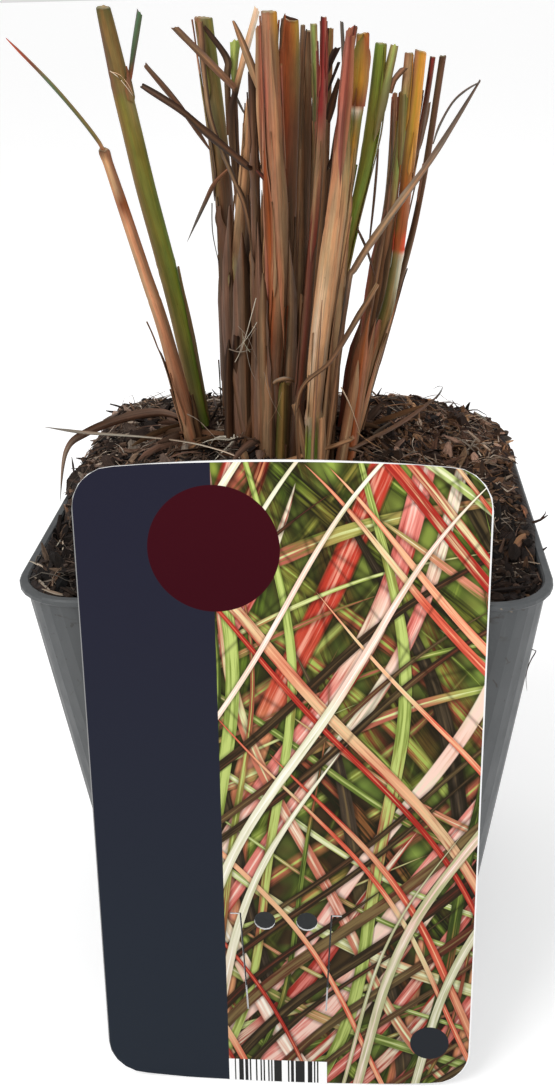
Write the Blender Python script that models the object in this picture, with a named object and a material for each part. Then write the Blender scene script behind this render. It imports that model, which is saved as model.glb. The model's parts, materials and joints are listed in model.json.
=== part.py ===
"""Potted miscanthus: a cut-back grass clump in a square nursery pot with a blank-backed plant label.

Units are metres. +Z is up, the floor is z = 0 and the origin is the middle of the pot's underside.
-Y is the front, where the plant label stands on the floor and leans against the pot's rim.
"""
import math

import bmesh
import bpy
from mathutils import Vector, noise

MM = 0.001
GAP = 0.3 * MM                      # air kept between pieces that touch

# Pot: a square 11 cm container with a flat rim.
POT_WIDTH = 110 * MM                # across the rim
POT_HEIGHT = 115 * MM
WALL = 0.9 * MM
WALL_TOP_HALF = 54 * MM             # half the width under the rim, outside
WALL_TAPER = math.radians(5.75)
RIM_THICKNESS = 1.5 * MM
RIM_CORNER = 12.5 * MM
RIM_EDGE = 0.35 * MM                # bevel on the rim's edges
WALL_CORNER_TOP = 12 * MM
WALL_CORNER_BASE = 17 * MM
POT_FLOOR = 1.4 * MM
BASE_BEVEL = 1.2 * MM
DRAIN_RADIUS = 4.5 * MM
DRAIN_OFFSET = 24 * MM              # of a drain hole from the pot's middle, each way
DRAIN_SIDES = 16
CORNER_SEGMENTS = 7

# Soil: what fills the pot, low at the front, heaped at the back and round the clump.
SOIL_FRONT_DROP = 9 * MM            # below the rim at the front wall
SOIL_BACK_RISE = 8 * MM             # above the rim at the back wall
CROWN_RISE = 11 * MM                # extra height of the heap round the clump
CROWN_CENTRE = Vector((-3 * MM, 3 * MM))
CROWN_SPREAD = Vector((24 * MM, 26 * MM))
SPILL_HALF = 54.2 * MM              # half the width of the soil that lies on the rim
SPILL_FROM_LEFT = -10 * MM          # soil covers the left rim behind this y
SPILL_FROM_RIGHT = -31 * MM
SPILL_CLIMB = 12 * MM               # along the wall, from the low front edge up to the rim
SPILL_SPREAD = 7 * MM               # along the wall, from the rim's inner to its outer edge
SOIL_LIP = 0.5 * MM                 # the edge's upright step, the slope on it and the shoulder
SOIL_SLOPE = 0.4 * MM
SOIL_SHOULDER = 0.7 * MM
SOIL_EDGE_DROP = 1.5 * MM           # of the edge below the smooth surface
SOIL_EDGE_INSET = 0.985             # the shoulder's place as a share of the outline
SOIL_LUMP = 1.3 * MM                # height of the lumps, and their size
SOIL_LUMP_SIZE = 6 * MM
SOIL_RINGS = 9
SOIL_SIDE_STEPS = 8

# Plant label: one stiff plastic sheet, standing on its foot.
LABEL_WIDTH = 81 * MM
LABEL_LENGTH = 145.2 * MM
LABEL_THICKNESS = 0.5 * MM
LABEL_LEAN = math.radians(7.07)
LABEL_SHIFT = 0.45 * MM             # of its middle to the right of the pot's
LABEL_CORNER = 8.5 * MM
LABEL_END_BOW = 1.4 * MM            # how far the two ends bulge
LABEL_CORNER_STEPS = 5
LABEL_END_STEPS = 8
LABEL_HOLE_SIDES = 16
LABEL_HOLE_RADIUS = 2.3 * MM
LABEL_HOLE_OFFSET = 4.55 * MM
LABEL_HOLE_HEIGHT = 43 * MM
TONGUE_HALF = 10 * MM               # half the width of the hanging tongue
TONGUE_TOP = 44.5 * MM
TONGUE_FOOT = 20 * MM
TONGUE_HOOK = 2 * MM
TONGUE_TAPER = 1.2 * MM             # how much nearer to each other the two slits end
SLIT = 0.35 * MM

# Stems and leaves are placed by where they stand in a front view of the plant: a point there is
# (pixels across, pixels down), and its depth is millimetres behind the pot's middle.
EYE = Vector((15.09 * MM, -261.27 * MM, POT_HEIGHT + 110.16 * MM))
EYE_PITCH = math.radians(25.128)
EYE_YAW = math.radians(-4.21)
EYE_ROLL = math.radians(1.388)
FOCAL_PIXELS = 1187.9
FRAME_MIDDLE = Vector((277.5, 543))

PLANTING_DEPTH = 5 * MM             # how far a stem goes into the soil
CANE_SIDES = 8
BLADE_THICKNESS = 0.55 * MM
PATH_STEP = 15 * MM                 # between the rings of a stem
BLADE_POCKET = 0.25 * MM            # extra room round a flat foot, whose edges are sharp

GREY_PLASTIC = ("grey_plastic", (0.16, 0.17, 0.175), 0.45)
POTTING_SOIL = ("potting_soil", (0.035, 0.024, 0.018), 0.95)
LABEL_PRINT = ("label_print", (0.05, 0.06, 0.09), 0.3)
GREEN_STEM = ("green_stem", (0.16, 0.17, 0.035), 0.5)
TAN_STEM = ("tan_stem", (0.42, 0.23, 0.11), 0.6)
RUST_STEM = ("rust_stem", (0.30, 0.11, 0.045), 0.5)
RED_STEM = ("red_stem", (0.20, 0.03, 0.025), 0.5)
DRY_LEAF = ("dry_leaf", (0.13, 0.085, 0.06), 0.8)


def material(finish):
    """The Principled material of a finish: its name, colour and roughness."""
    name, colour, roughness = finish
    found = bpy.data.materials.get(name)
    if found:
        return found
    made = bpy.data.materials.new(name)
    made.use_nodes = True
    shader = made.node_tree.nodes["Principled BSDF"]
    shader.inputs["Base Color"].default_value = (*colour, 1)
    shader.inputs["Roughness"].default_value = roughness
    made.diffuse_color = (*colour, 1)
    return made


def add_object(name, bm, finish, smooth_angle=None):
    """Turns a bmesh into a named object."""
    mesh = bpy.data.meshes.new(name)
    bm.to_mesh(mesh)
    bm.free()
    mesh.materials.append(material(finish))
    if smooth_angle:
        mesh.shade_smooth()
        mesh.set_sharp_from_angle(angle=math.radians(smooth_angle))
    made = bpy.data.objects.new(name, mesh)
    bpy.context.scene.collection.objects.link(made)
    return made


def cut(target, cutter):
    """Cuts one object from another and removes the cutter."""
    boolean = target.modifiers.new("cut", "BOOLEAN")
    boolean.operation = "DIFFERENCE"
    boolean.solver = "EXACT"
    boolean.object = cutter
    bpy.context.view_layer.update()
    evaluated = target.evaluated_get(bpy.context.evaluated_depsgraph_get())
    result = bpy.data.meshes.new_from_object(evaluated)
    target.modifiers.clear()
    target.data = result
    bpy.data.objects.remove(cutter)


def loft(rings, crown=None):
    """A closed bmesh through rings of points, with a flat cap on each end, or a fan of triangles
    to the crown point on the last. All rings have the same count, and run counterclockwise about
    the way from the first ring to the last."""
    bm = bmesh.new()
    rows = [[bm.verts.new(point) for point in ring] for ring in rings]
    count = len(rows[0])
    for low, high in zip(rows[:-1], rows[1:]):
        for i in range(count):
            j = (i + 1) % count
            bm.faces.new((low[i], low[j], high[j], high[i]))
    bm.faces.new(list(reversed(rows[0])))
    if crown is None:
        bm.faces.new(rows[-1])
    else:
        peak = bm.verts.new(crown)
        for i in range(count):
            bm.faces.new((rows[-1][i], rows[-1][(i + 1) % count], peak))
    return bm


def rounded_square(half, radius, side_steps=1):
    """Points round a square with round corners, counterclockwise from the right front corner.
    Each straight side is parted into side_steps."""
    points = []
    for turn in range(4):
        start = math.radians(-90 + 90 * turn)
        centre_angle = start + math.radians(45)
        centre = Vector((math.copysign(half - radius, math.cos(centre_angle)),
                         math.copysign(half - radius, math.sin(centre_angle))))
        for step in range(CORNER_SEGMENTS + 1):
            angle = start + math.radians(90) * step / CORNER_SEGMENTS
            points.append(centre + radius * Vector((math.cos(angle), math.sin(angle))))
        stride = 2 * (half - radius) / side_steps * Vector((-math.cos(start), -math.sin(start)))
        for step in range(1, side_steps):
            points.append(points[-1] + stride)
    return points


def wall_half(z):
    """Half the pot's outside width at height z."""
    return WALL_TOP_HALF - math.tan(WALL_TAPER) * (POT_HEIGHT - z)


def wall_corner(z):
    """The pot's outside corner radius at height z."""
    return WALL_CORNER_BASE + (WALL_CORNER_TOP - WALL_CORNER_BASE) * z / POT_HEIGHT


def pot_ring(half, radius, z):
    return [point.to_3d() + Vector((0, 0, z)) for point in rounded_square(half, radius)]


def make_pot():
    """Thin wall, flat rim that stands a little proud, and a floor with four drain holes."""
    under_rim = POT_HEIGHT - RIM_THICKNESS
    rim_half = POT_WIDTH / 2
    edge = RIM_EDGE
    rings = [
        pot_ring(wall_half(0) - BASE_BEVEL, wall_corner(0) - BASE_BEVEL, 0),
        pot_ring(wall_half(BASE_BEVEL), wall_corner(BASE_BEVEL), BASE_BEVEL),
        pot_ring(wall_half(0.5 * POT_HEIGHT), wall_corner(0.5 * POT_HEIGHT), 0.5 * POT_HEIGHT),
        pot_ring(wall_half(under_rim), wall_corner(under_rim), under_rim),
        pot_ring(rim_half - edge, RIM_CORNER - edge, under_rim),
        pot_ring(rim_half, RIM_CORNER, under_rim + edge),
        pot_ring(rim_half, RIM_CORNER, POT_HEIGHT - edge),
        pot_ring(rim_half - edge, RIM_CORNER - edge, POT_HEIGHT),
        pot_ring(WALL_TOP_HALF - WALL + edge, WALL_CORNER_TOP - WALL + edge, POT_HEIGHT),
    ]
    for z in (POT_HEIGHT - edge, 0.5 * POT_HEIGHT, POT_FLOOR):
        rings.append(pot_ring(wall_half(z) - WALL, wall_corner(z) - WALL, z))
    pot = add_object("pot", loft(rings), GREY_PLASTIC, 40)
    for side_x in (-1, 1):
        for side_y in (-1, 1):
            bm = bmesh.new()
            bmesh.ops.create_cone(bm, cap_ends=True, segments=DRAIN_SIDES, radius1=DRAIN_RADIUS,
                                  radius2=DRAIN_RADIUS, depth=4 * POT_FLOOR)
            bmesh.ops.translate(bm, verts=bm.verts,
                                vec=(side_x * DRAIN_OFFSET, side_y * DRAIN_OFFSET, 0))
            cut(pot, add_object("drain_cutter", bm, GREY_PLASTIC))
    return pot


def ramp(value, low, high):
    """0 below low, 1 above high, and smooth in between."""
    t = min(1, max(0, (value - low) / (high - low)))
    return t * t * (3 - 2 * t)


def soil_height(x, y):
    """Height of the smooth soil surface."""
    inner = WALL_TOP_HALF - WALL
    front = -SOIL_FRONT_DROP * (1 - ramp(y, -inner, -0.3 * inner))
    back = SOIL_BACK_RISE * ramp(y, -0.6 * inner, inner)
    across = (x - CROWN_CENTRE.x) / CROWN_SPREAD.x
    along = (y - CROWN_CENTRE.y) / CROWN_SPREAD.y
    crown = CROWN_RISE * math.exp(-0.5 * (across * across + along * along))
    return POT_HEIGHT + front + back + crown


def spill(point):
    """At a point of the soil's outline, how far its edge has risen from the low front to the rim,
    and how far it then lies over the rim: each 0 for not at all, 1 for fully."""
    start = SPILL_FROM_LEFT if point.x < 0 else SPILL_FROM_RIGHT
    return ramp(point.y, start - SPILL_CLIMB, start), ramp(point.y, start, start + SPILL_SPREAD)


def soil_wall_ring(z):
    """The soil's outline just inside the pot's wall at height z."""
    clear = WALL + GAP
    outline = rounded_square(wall_half(z) - clear, wall_corner(z) - clear, SOIL_SIDE_STEPS)
    return [point.to_3d() + Vector((0, 0, z)) for point in outline]


def soil_edge():
    """Four rings round the soil's edge. It stays low inside the front wall, climbs to the rim
    along the sides, and lies on the rim at the back."""
    low = POT_HEIGHT - SOIL_FRONT_DROP
    narrow = (wall_half(low) - WALL - GAP) / (WALL_TOP_HALF - WALL - GAP)
    lip_low = low + SOIL_LIP
    climb = POT_HEIGHT + GAP - lip_low
    foot, lip, slope, shoulder = [], [], [], []
    outline = rounded_square(SPILL_HALF, RIM_CORNER, SOIL_SIDE_STEPS)
    for flat, at_wall in zip(outline, soil_wall_ring(POT_HEIGHT)):
        risen, over = spill(flat)
        near = at_wall.to_2d()
        base = (near * narrow).lerp(near, risen)
        wide = base.lerp(flat, over)
        lip_z = lip_low + climb * risen
        slope_z = lip_z + SOIL_SLOPE
        surface_z = soil_height(wide.x, wide.y) - SOIL_EDGE_DROP
        shoulder_z = max(surface_z, slope_z + SOIL_SHOULDER)
        foot.append(base.to_3d() + Vector((0, 0, low + (POT_HEIGHT - RIM_THICKNESS - low) * risen)))
        lip.append(base.to_3d() + Vector((0, 0, lip_z)))
        slope.append(wide.to_3d() + Vector((0, 0, slope_z)))
        shoulder.append((wide * SOIL_EDGE_INSET).to_3d() + Vector((0, 0, shoulder_z)))
    return [foot, lip, slope, shoulder]


def make_soil():
    """The potting mix: it fills the pot, and its heaped top lies over the rim at the back."""
    edge = soil_edge()
    rings = [soil_wall_ring(POT_FLOOR + GAP), soil_wall_ring(0.5 * POT_HEIGHT)] + edge
    for k in range(1, SOIL_RINGS):
        ring = []
        for point in edge[-1]:
            flat = point.to_2d().lerp(CROWN_CENTRE, k / SOIL_RINGS)
            lump = noise.noise(flat.to_3d() / SOIL_LUMP_SIZE) * SOIL_LUMP
            ring.append(flat.to_3d() + Vector((0, 0, soil_height(flat.x, flat.y) + lump)))
        rings.append(ring)
    peak = CROWN_CENTRE.to_3d() + Vector((0, 0, soil_height(*CROWN_CENTRE)))
    return add_object("soil", loft(rings, peak), POTTING_SOIL)


def label_outline():
    """The label's outline from its foot: round corners and two ends that bulge."""
    half = LABEL_WIDTH / 2 - LABEL_CORNER
    low = LABEL_CORNER + LABEL_END_BOW
    centres = ((half, low), (half, LABEL_LENGTH - low), (-half, LABEL_LENGTH - low), (-half, low))
    points = []
    for turn, centre in enumerate(centres):
        start = math.radians(-90 + 90 * turn)
        for step in range(LABEL_CORNER_STEPS + 1):
            angle = start + math.radians(90) * step / LABEL_CORNER_STEPS
            corner = Vector((math.cos(angle), math.sin(angle))) * LABEL_CORNER
            points.append(Vector(centre) + corner)
        if turn in (1, 3):
            side = 1 if turn == 1 else -1
            end = LABEL_LENGTH if turn == 1 else 0
            for step in range(1, LABEL_END_STEPS):
                across = 1 - 2 * step / LABEL_END_STEPS
                points.append(Vector((across * side * half,
                                      end - side * LABEL_END_BOW * across ** 2)))
    return points


def label_frame():
    """The label's foot and its two directions: across, and up along the sheet."""
    lean = math.sin(LABEL_LEAN)
    rise = math.cos(LABEL_LEAN)
    clear = (LABEL_THICKNESS / 2 + GAP) / rise
    foot_y = -POT_WIDTH / 2 - clear - POT_HEIGHT * math.tan(LABEL_LEAN)
    foot = Vector((LABEL_SHIFT, foot_y, LABEL_THICKNESS / 2 * lean))
    return foot, Vector((1, 0, 0)), Vector((0, lean, rise))


def label_plate(outline, thickness):
    """A flat plate of an outline given across and up the label."""
    foot, across, up = label_frame()
    normal = across.cross(up)
    middle = [foot + across * point.x + up * point.y for point in outline]
    return loft([[p - normal * thickness / 2 for p in middle],
                 [p + normal * thickness / 2 for p in middle]])


def tongue_slit(side):
    """One leg of the slit that frees the hanging tongue, with its short hook at the top."""
    outer = side * (TONGUE_HALF + TONGUE_HOOK)
    leg = side * TONGUE_HALF
    foot = side * (TONGUE_HALF - TONGUE_TAPER)
    wide = side * SLIT
    points = [Vector((outer, TONGUE_TOP + SLIT)), Vector((leg - wide, TONGUE_TOP + SLIT)),
              Vector((foot - wide, TONGUE_FOOT)), Vector((foot, TONGUE_FOOT)),
              Vector((leg, TONGUE_TOP)), Vector((outer, TONGUE_TOP))]
    return points if side > 0 else points[::-1]


def make_label():
    """The plant label with its two round holes and the slit of its hanging tongue."""
    label = add_object("plant_label", label_plate(label_outline(), LABEL_THICKNESS), LABEL_PRINT)
    for side in (-1, 1):
        middle = Vector((side * LABEL_HOLE_OFFSET, LABEL_HOLE_HEIGHT))
        turns = (2 * math.pi * k / LABEL_HOLE_SIDES for k in range(LABEL_HOLE_SIDES))
        ring = [middle + LABEL_HOLE_RADIUS * Vector((math.cos(a), math.sin(a))) for a in turns]
        cut(label, add_object("hole_cutter", label_plate(ring, 3 * LABEL_THICKNESS), LABEL_PRINT))
        cut(label, add_object("slit_cutter", label_plate(tongue_slit(side), 3 * LABEL_THICKNESS),
                              LABEL_PRINT))
    return label


def view_directions():
    """Right, down and forward of the front view."""
    cos_pitch, sin_pitch = math.cos(EYE_PITCH), math.sin(EYE_PITCH)
    cos_yaw, sin_yaw = math.cos(EYE_YAW), math.sin(EYE_YAW)
    forward = Vector((sin_yaw * cos_pitch, cos_yaw * cos_pitch, -sin_pitch))
    level = Vector((cos_yaw, -sin_yaw, 0))
    plumb = forward.cross(level)
    right = math.cos(EYE_ROLL) * level + math.sin(EYE_ROLL) * plumb
    down = -math.sin(EYE_ROLL) * level + math.cos(EYE_ROLL) * plumb
    return right, down, forward


def seen_at(pixel, depth):
    """The place that a pixel of the front view shows at a depth in millimetres."""
    right, down, forward = view_directions()
    across = (pixel[0] - FRAME_MIDDLE.x) / FOCAL_PIXELS
    below = (pixel[1] - FRAME_MIDDLE.y) / FOCAL_PIXELS
    ray = forward + across * right + below * down
    return EYE + ray * ((depth * MM - EYE.y) / ray.y)


def smooth_path(points):
    """Places about PATH_STEP apart on a smooth curve through (place, width) pairs."""
    path = []
    last = len(points) - 1
    for k in range(last):
        before, here, there, after = (points[min(max(k + i, 0), last)] for i in (-1, 0, 1, 2))
        steps = max(1, round((there[0] - here[0]).length / PATH_STEP))
        for step in range(steps):
            t = step / steps
            place = 0.5 * (2 * here[0] + (there[0] - before[0]) * t
                           + (2 * before[0] - 5 * here[0] + 4 * there[0] - after[0]) * t ** 2
                           + (3 * here[0] - before[0] - 3 * there[0] + after[0]) * t ** 3)
            path.append((place, here[1] + (there[1] - here[1]) * t))
    path.append(points[last])
    return path


def stem_rings(path, sides, thickness, grow=0.0):
    """Rings round a path. A cane is round; a blade is a flat lozenge that faces the front."""
    rings = []
    for k, (place, width) in enumerate(path):
        ahead = path[min(k + 1, len(path) - 1)][0]
        behind = path[max(k - 1, 0)][0]
        along = (ahead - behind).normalized()
        if k == 0:
            place = place - along * grow
        if k == len(path) - 1:
            place = place + along * grow
        flat = along.cross(Vector((0, 1, 0))).normalized()
        through = along.cross(flat)
        depth = thickness if thickness else width
        rings.append([place + flat * (width / 2 + grow) * math.cos(a)
                      + through * (depth / 2 + grow) * math.sin(a)
                      for a in (2 * math.pi * i / sides for i in range(sides))])
    return rings


def add_stem(name, finish, pixels, depths, widths, planted=True, blade=False):
    """One stem or leaf from its foot to its tip. Depths and widths are in millimetres, and run
    evenly with height between those of the foot and the tip where only two are given."""
    count = len(pixels)
    share = [(pixels[0][1] - p[1]) / (pixels[0][1] - pixels[-1][1]) for p in pixels]
    if len(depths) == 2:
        depths = [depths[0] + (depths[1] - depths[0]) * s for s in share]
    if len(widths) == 2:
        widths = [widths[0] + (widths[1] - widths[0]) * s for s in share]
    points = [(seen_at(pixels[k], depths[k]), widths[k] * MM) for k in range(count)]
    if planted:
        foot, next_place = points[0][0], points[1][0]
        down = (foot - next_place).normalized()
        ground = soil_height(foot.x, foot.y) - PLANTING_DEPTH
        points[0] = (foot + down * ((foot.z - ground) / -down.z), points[0][1])
    path = smooth_path(points)
    sides = 4 if blade else CANE_SIDES
    thickness = BLADE_THICKNESS if blade else None
    made = add_object(name, loft(stem_rings(path, sides, thickness)), finish, 50)
    if planted:
        rings = stem_rings(path[:2], sides, thickness, GAP + (BLADE_POCKET if blade else 0))
        cut(bpy.data.objects["soil"], add_object("pocket_cutter", loft(rings), finish))
    return made


def make_canes():
    """The round stems, cut off at the top, from the left of the clump to the right."""
    add_stem("cane_green_left", GREEN_STEM, [(203, 425), (187, 337), (147, 184), (125, 95), (103, 8)],
             (11, 2), (4.4, 4.9, 5.0, 4.7, 2.9))
    add_stem("cane_tan_left", TAN_STEM, [(192, 428), (171, 343), (147, 269), (122, 199), (104, 150)],
             (5, -3), (4.4, 3.2, 2.7, 2.4, 1.9))
    add_stem("cane_olive", GREEN_STEM, [(229, 402), (226, 300), (222, 200), (214, 110), (203, 18)],
             (21, 24), (4.8, 4.1))
    add_stem("cane_brown_left", DRY_LEAF, [(240, 425), (241, 300), (240, 262), (243, 200), (251, 100)],
             (10, 8), (5.3, 4.8, 3.9, 2.7, 1.5))
    add_stem("cane_grey_left", DRY_LEAF, [(262, 440), (257, 250), (252, 72)], (2, 1), (2.8, 1.7))
    add_stem("cane_pink", TAN_STEM, [(272, 456), (280, 250), (275, 150), (269, 12)],
             (-6, -8), (3.5, 3.4, 3.7, 3.1))
    add_stem("cane_rust", RUST_STEM, [(282, 452), (288, 300), (288, 205), (289, 80), (290, 20)],
             (-1, -1), (5.0, 3.1, 3.6, 4.7, 3.6))
    add_stem("cane_plum", DRY_LEAF, [(290, 430), (294, 250), (303, 26)], (6, 5), (2.3, 1.0))
    add_stem("cane_umber", DRY_LEAF, [(297, 420), (303, 220), (308, 32)], (12, 15), (2.7, 3.0, 1.9))
    add_stem("cane_lime", GREEN_STEM, [(306, 420), (316, 180), (314, 25)], (9, 8), (1.7, 1.5))
    add_stem("cane_dark_red", RED_STEM, [(294, 452), (309, 290), (321, 140), (324, 18)],
             (-10, -9), (2.7, 1.9, 1.8, 1.2))
    add_stem("cane_tan_front", TAN_STEM, [(311, 464), (318, 365), (338, 200), (343, 130), (347, 86)],
             (-14, -12), (2.0, 3.9, 4.1, 3.0, 2.0))
    add_stem("cane_gold", TAN_STEM, [(330, 430), (338, 300), (346, 205), (361, 80), (363, 34)],
             (-5, -2), (2.7, 2.2, 1.9, 3.3, 2.8))
    add_stem("cane_green_right", GREEN_STEM, [(333, 415), (349, 245), (369, 133), (381, 44)],
             (7, 9), (2.0, 2.2, 3.0, 1.9))
    add_stem("cane_maroon", RED_STEM, [(352, 410), (367, 320), (386, 205), (392, 94)],
             (12, 17), (3.2, 2.6, 2.0, 1.1))
    add_stem("cane_buff", TAN_STEM, [(358, 400), (384, 262), (399, 155), (409, 54)],
             (7, 10), (1.6, 1.4, 1.9, 1.9))
    add_stem("cane_orange", RUST_STEM, [(349, 440), (368, 368), (392, 288), (408, 165), (421, 52)],
             (0, -2), (4.2, 3.6, 2.5, 2.7, 2.4))
    add_stem("cane_wine", RED_STEM, [(366, 398), (398, 250), (423, 128), (433, 58)],
             (9, 9), (1.2, 1.0))
    add_stem("cane_brown_right", DRY_LEAF, [(366, 412), (399, 296), (422, 200), (443, 57)],
             (18, 21), (2.2, 1.8, 1.4, 1.5))


def make_leaves():
    """The flat blades, strips and split sheaths, and what has dropped on the soil."""
    def leaf(name, finish, pixels, depths, widths, planted=False):
        add_stem(name, finish, pixels, depths, widths, planted, blade=True)

    leaf("shoot_left", GREEN_STEM, [(129, 80), (134, 45), (139, 12)], (6.5, 6), (0.9, 0.8))
    leaf("leaf_tip_left", TAN_STEM, [(101, 145), (78, 116), (45, 78), (6, 38)],
         (-4.2, -10), (1.0, 1.2, 1.0, 0.4))
    leaf("leaf_beige", TAN_STEM, [(249, 400), (238, 215), (231, 125), (236, 88), (257, 9)],
         (17, 13), (1.4, 1.1, 1.5, 1.7, 1.7), True)
    leaf("leaf_short_green", GREEN_STEM, [(254, 398), (240, 215), (234, 90), (235, 41)],
         (20, 18), (1.2, 1.1, 1.2, 1.7), True)
    leaf("leaf_khaki", DRY_LEAF, [(312, 400), (323, 230), (331, 28)], (17, 18), (1.1, 1.4), True)
    leaf("leaf_grey_thin", DRY_LEAF, [(312, 410), (329, 190), (343, 95), (342, 22)],
         (11, 12), (0.9, 0.8), True)
    leaf("leaf_rose", RUST_STEM, [(319, 440), (331, 250), (343, 100), (350, 28)],
         (-5, -1.5), (1.2, 1.3, 1.9, 1.7), True)
    leaf("leaf_red_thin", RED_STEM, [(315, 445), (330, 200), (346, 92), (356, 26)],
         (-9, -7), (0.9, 0.9), True)
    leaf("leaf_green_right", GREEN_STEM, [(386, 104), (390, 72), (397, 45)], (9, 9), (1.3, 1.3))
    leaf("leaf_long_right", DRY_LEAF,
         [(330, 430), (346, 300), (356, 266), (392, 211), (432, 155), (480, 80)],
         (-9, -7.5, -7, -6.5, -6, -10), (1.1, 1.2, 1.4, 1.4, 1.1, 0.5), True)
    leaf("strip_front", DRY_LEAF, [(300, 446), (298, 400), (331, 361), (361, 312), (378, 284)],
         (-17, -18, -19, -12, -6), (1.2, 1.0, 1.3, 1.6, 1.4), True)
    leaf("strip_left_low", DRY_LEAF, [(249, 168), (205, 131), (180, 110), (142, 86)],
         (3, 14, 13, 8), (1.5, 1.8, 1.5, 0.9))
    leaf("strip_left_top", DRY_LEAF, [(235, 89), (204, 57), (175, 28)], (10.5, 17.5, 15), (1.5, 1.9, 1.3))
    leaf("strip_folded", DRY_LEAF, [(229, 135), (227, 78), (226, 58), (204, 27)],
         (19.5, 16, 16.8, 21), (0.9, 1.5, 1.7, 0.9))
    leaf("strip_long_left", TAN_STEM,
         [(256, 285), (247, 215), (234, 180), (221, 148), (208, 107), (198, 22)],
         (5, 5, 8, 16.5, 18.8, 19.4), (0.9, 1.3, 1.1, 1.1, 1.1, 1.3))
    leaf("leaf_droop_left", DRY_LEAF, [(231, 167), (215, 183), (205, 203), (187, 243)],
         (15.5, 16, 12, 6), (0.9, 1.1, 0.9, 0.4))
    leaf("leaf_on_soil", DRY_LEAF,
         [(184, 419), (160, 413), (125, 418), (86, 433), (66, 452), (60, 502)],
         (17, 24, 24, 17, 11, 4), (2.6, 2.8, 2.8, 2.0, 1.3, 0.5))
    leaf("straw_left", DRY_LEAF, [(222, 451), (190, 443), (150, 438), (85, 433), (44, 427)],
         (-8, -3, 5, 13, 20), (0.9, 0.9, 0.9, 1.2, 0.6))
    leaf("straw_right", DRY_LEAF, [(350, 451), (400, 425), (434, 400), (442, 388)],
         (-8, 12, 38, 40), (1.1, 1.4, 1.3, 0.8))


def main():
    for existing in list(bpy.data.objects):
        bpy.data.objects.remove(existing)
    make_pot()
    make_soil()
    make_label()
    make_canes()
    make_leaves()


main()
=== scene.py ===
"""The looks of a potted, cut-back miscanthus clump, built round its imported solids.

Lengths are metres, +Z is up and -Y is the front. Pixels and rows are those of a front view that is
555 across and 1086 down. A pixel's depth is the y of what it shows, in millimetres.
"""
import json
import math
import random

import bmesh
import bpy
from mathutils import Matrix, Vector, noise
from mathutils.bvhtree import BVHTree


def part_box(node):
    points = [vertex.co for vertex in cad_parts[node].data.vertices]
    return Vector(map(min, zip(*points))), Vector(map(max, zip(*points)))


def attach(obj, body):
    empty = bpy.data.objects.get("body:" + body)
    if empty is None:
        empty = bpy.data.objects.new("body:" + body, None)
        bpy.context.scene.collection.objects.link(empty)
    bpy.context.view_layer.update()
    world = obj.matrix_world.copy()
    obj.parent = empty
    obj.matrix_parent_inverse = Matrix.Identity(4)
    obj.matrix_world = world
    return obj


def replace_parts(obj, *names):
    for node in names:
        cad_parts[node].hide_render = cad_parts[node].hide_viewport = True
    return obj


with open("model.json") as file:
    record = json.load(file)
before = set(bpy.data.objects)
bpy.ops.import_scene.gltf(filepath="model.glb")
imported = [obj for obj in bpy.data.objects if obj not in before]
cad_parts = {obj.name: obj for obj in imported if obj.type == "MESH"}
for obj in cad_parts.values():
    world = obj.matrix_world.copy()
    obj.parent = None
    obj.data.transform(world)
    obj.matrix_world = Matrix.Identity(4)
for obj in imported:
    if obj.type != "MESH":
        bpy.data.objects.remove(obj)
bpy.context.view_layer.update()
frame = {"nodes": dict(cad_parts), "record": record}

noise.seed_set(1)  # noise_vector would differ from run to run without it

MM = 0.001
VIEW_SIZE = (555, 1086)

# The front view's camera.
POT_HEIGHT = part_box("pot")[1][2]
EYE = Vector((15.09 * MM, -261.27 * MM, POT_HEIGHT + 110.16 * MM))
EYE_PITCH = math.radians(25.128)
EYE_YAW = math.radians(-4.21)
EYE_ROLL = math.radians(1.388)
FOCAL_PIXELS = 1187.9
SENSOR = 36

# The pot and the label, as the solids have them. The label's own sizes are in millimetres.
RIM_HALF = 55 * MM
INNER_HALF = 53 * MM
INNER_CORNER = 11 * MM
INNER_TAPER = 0.144
LABEL_LEAN = math.radians(7.07)
LABEL_GAP = 0.3 * MM
LABEL_THICKNESS = 0.5 * MM
LABEL_MIDDLE = 0.45 * MM
LABEL_HALF_WIDTH = 40.5
LABEL_LENGTH = 145.2
LABEL_CORNER = 8.5
LABEL_END_BOW = 1.4

PATH_STEP = 1.0 * MM
CANE_SIDES = 20
PLANTING_DEPTH = 3.5 * MM
HIGH_ABOVE = 300 * MM
BLADE_THICKNESS = 0.22 * MM
SHEATH_THICKNESS = 0.12 * MM
STRIP_LANES = 7

# Loose strips that start below the first row grow in the soil. Torn sheaths start at the second.
PLANTED_BELOW = 425
FOOT_ROW = 432

PALETTE = dict(
    lime="97a557", leaf="72852f", green="56641c", olive="6b6526", moss="524e22", khaki="7f7048",
    bronze="6f582e", gold="a27722", amber="c8893a", apricot="bd8764", sand="b99067", tan="a27a58",
    clay="8f6045", rust="8f4a22", russet="6c3519", rose="9c5a4a", crimson="781f1b", brick="602d20",
    coral="d04a2c", brown="5b3f2a", cocoa="432c1b", umber="2f1d13", soot="1f120c", mauve="684f41",
    grey="6b5f54", slate="544d46", beige="d3b497", pith="cdbf9a", chalk="a9a68c", wood="7f5f43",
    pale="cfc5b2", shoot="4b6446", ash="8f8172", dun="7a6858", scratch="3b3c33", speck="332d27",
    streak="8a7a66",
)


def linear(code):
    """The linear colour of a six-digit sRGB code."""
    channels = [int(code[i:i + 2], 16) / 255 for i in (0, 2, 4)]
    return Vector([c / 12.92 if c <= 0.04045 else ((c + 0.055) / 1.055) ** 2.4 for c in channels])


COLOUR = {name: linear(code) for name, code in PALETTE.items()}


def table(text):
    """The rows of a table given as text: commas or line ends part its rows, and spaces part the numbers and
    words in a row."""
    rows = [row.split() for row in text.replace("\n", ",").split(",")]
    return [[word if word[-1].isalpha() else float(word) for word in row] for row in rows if row]


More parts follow.
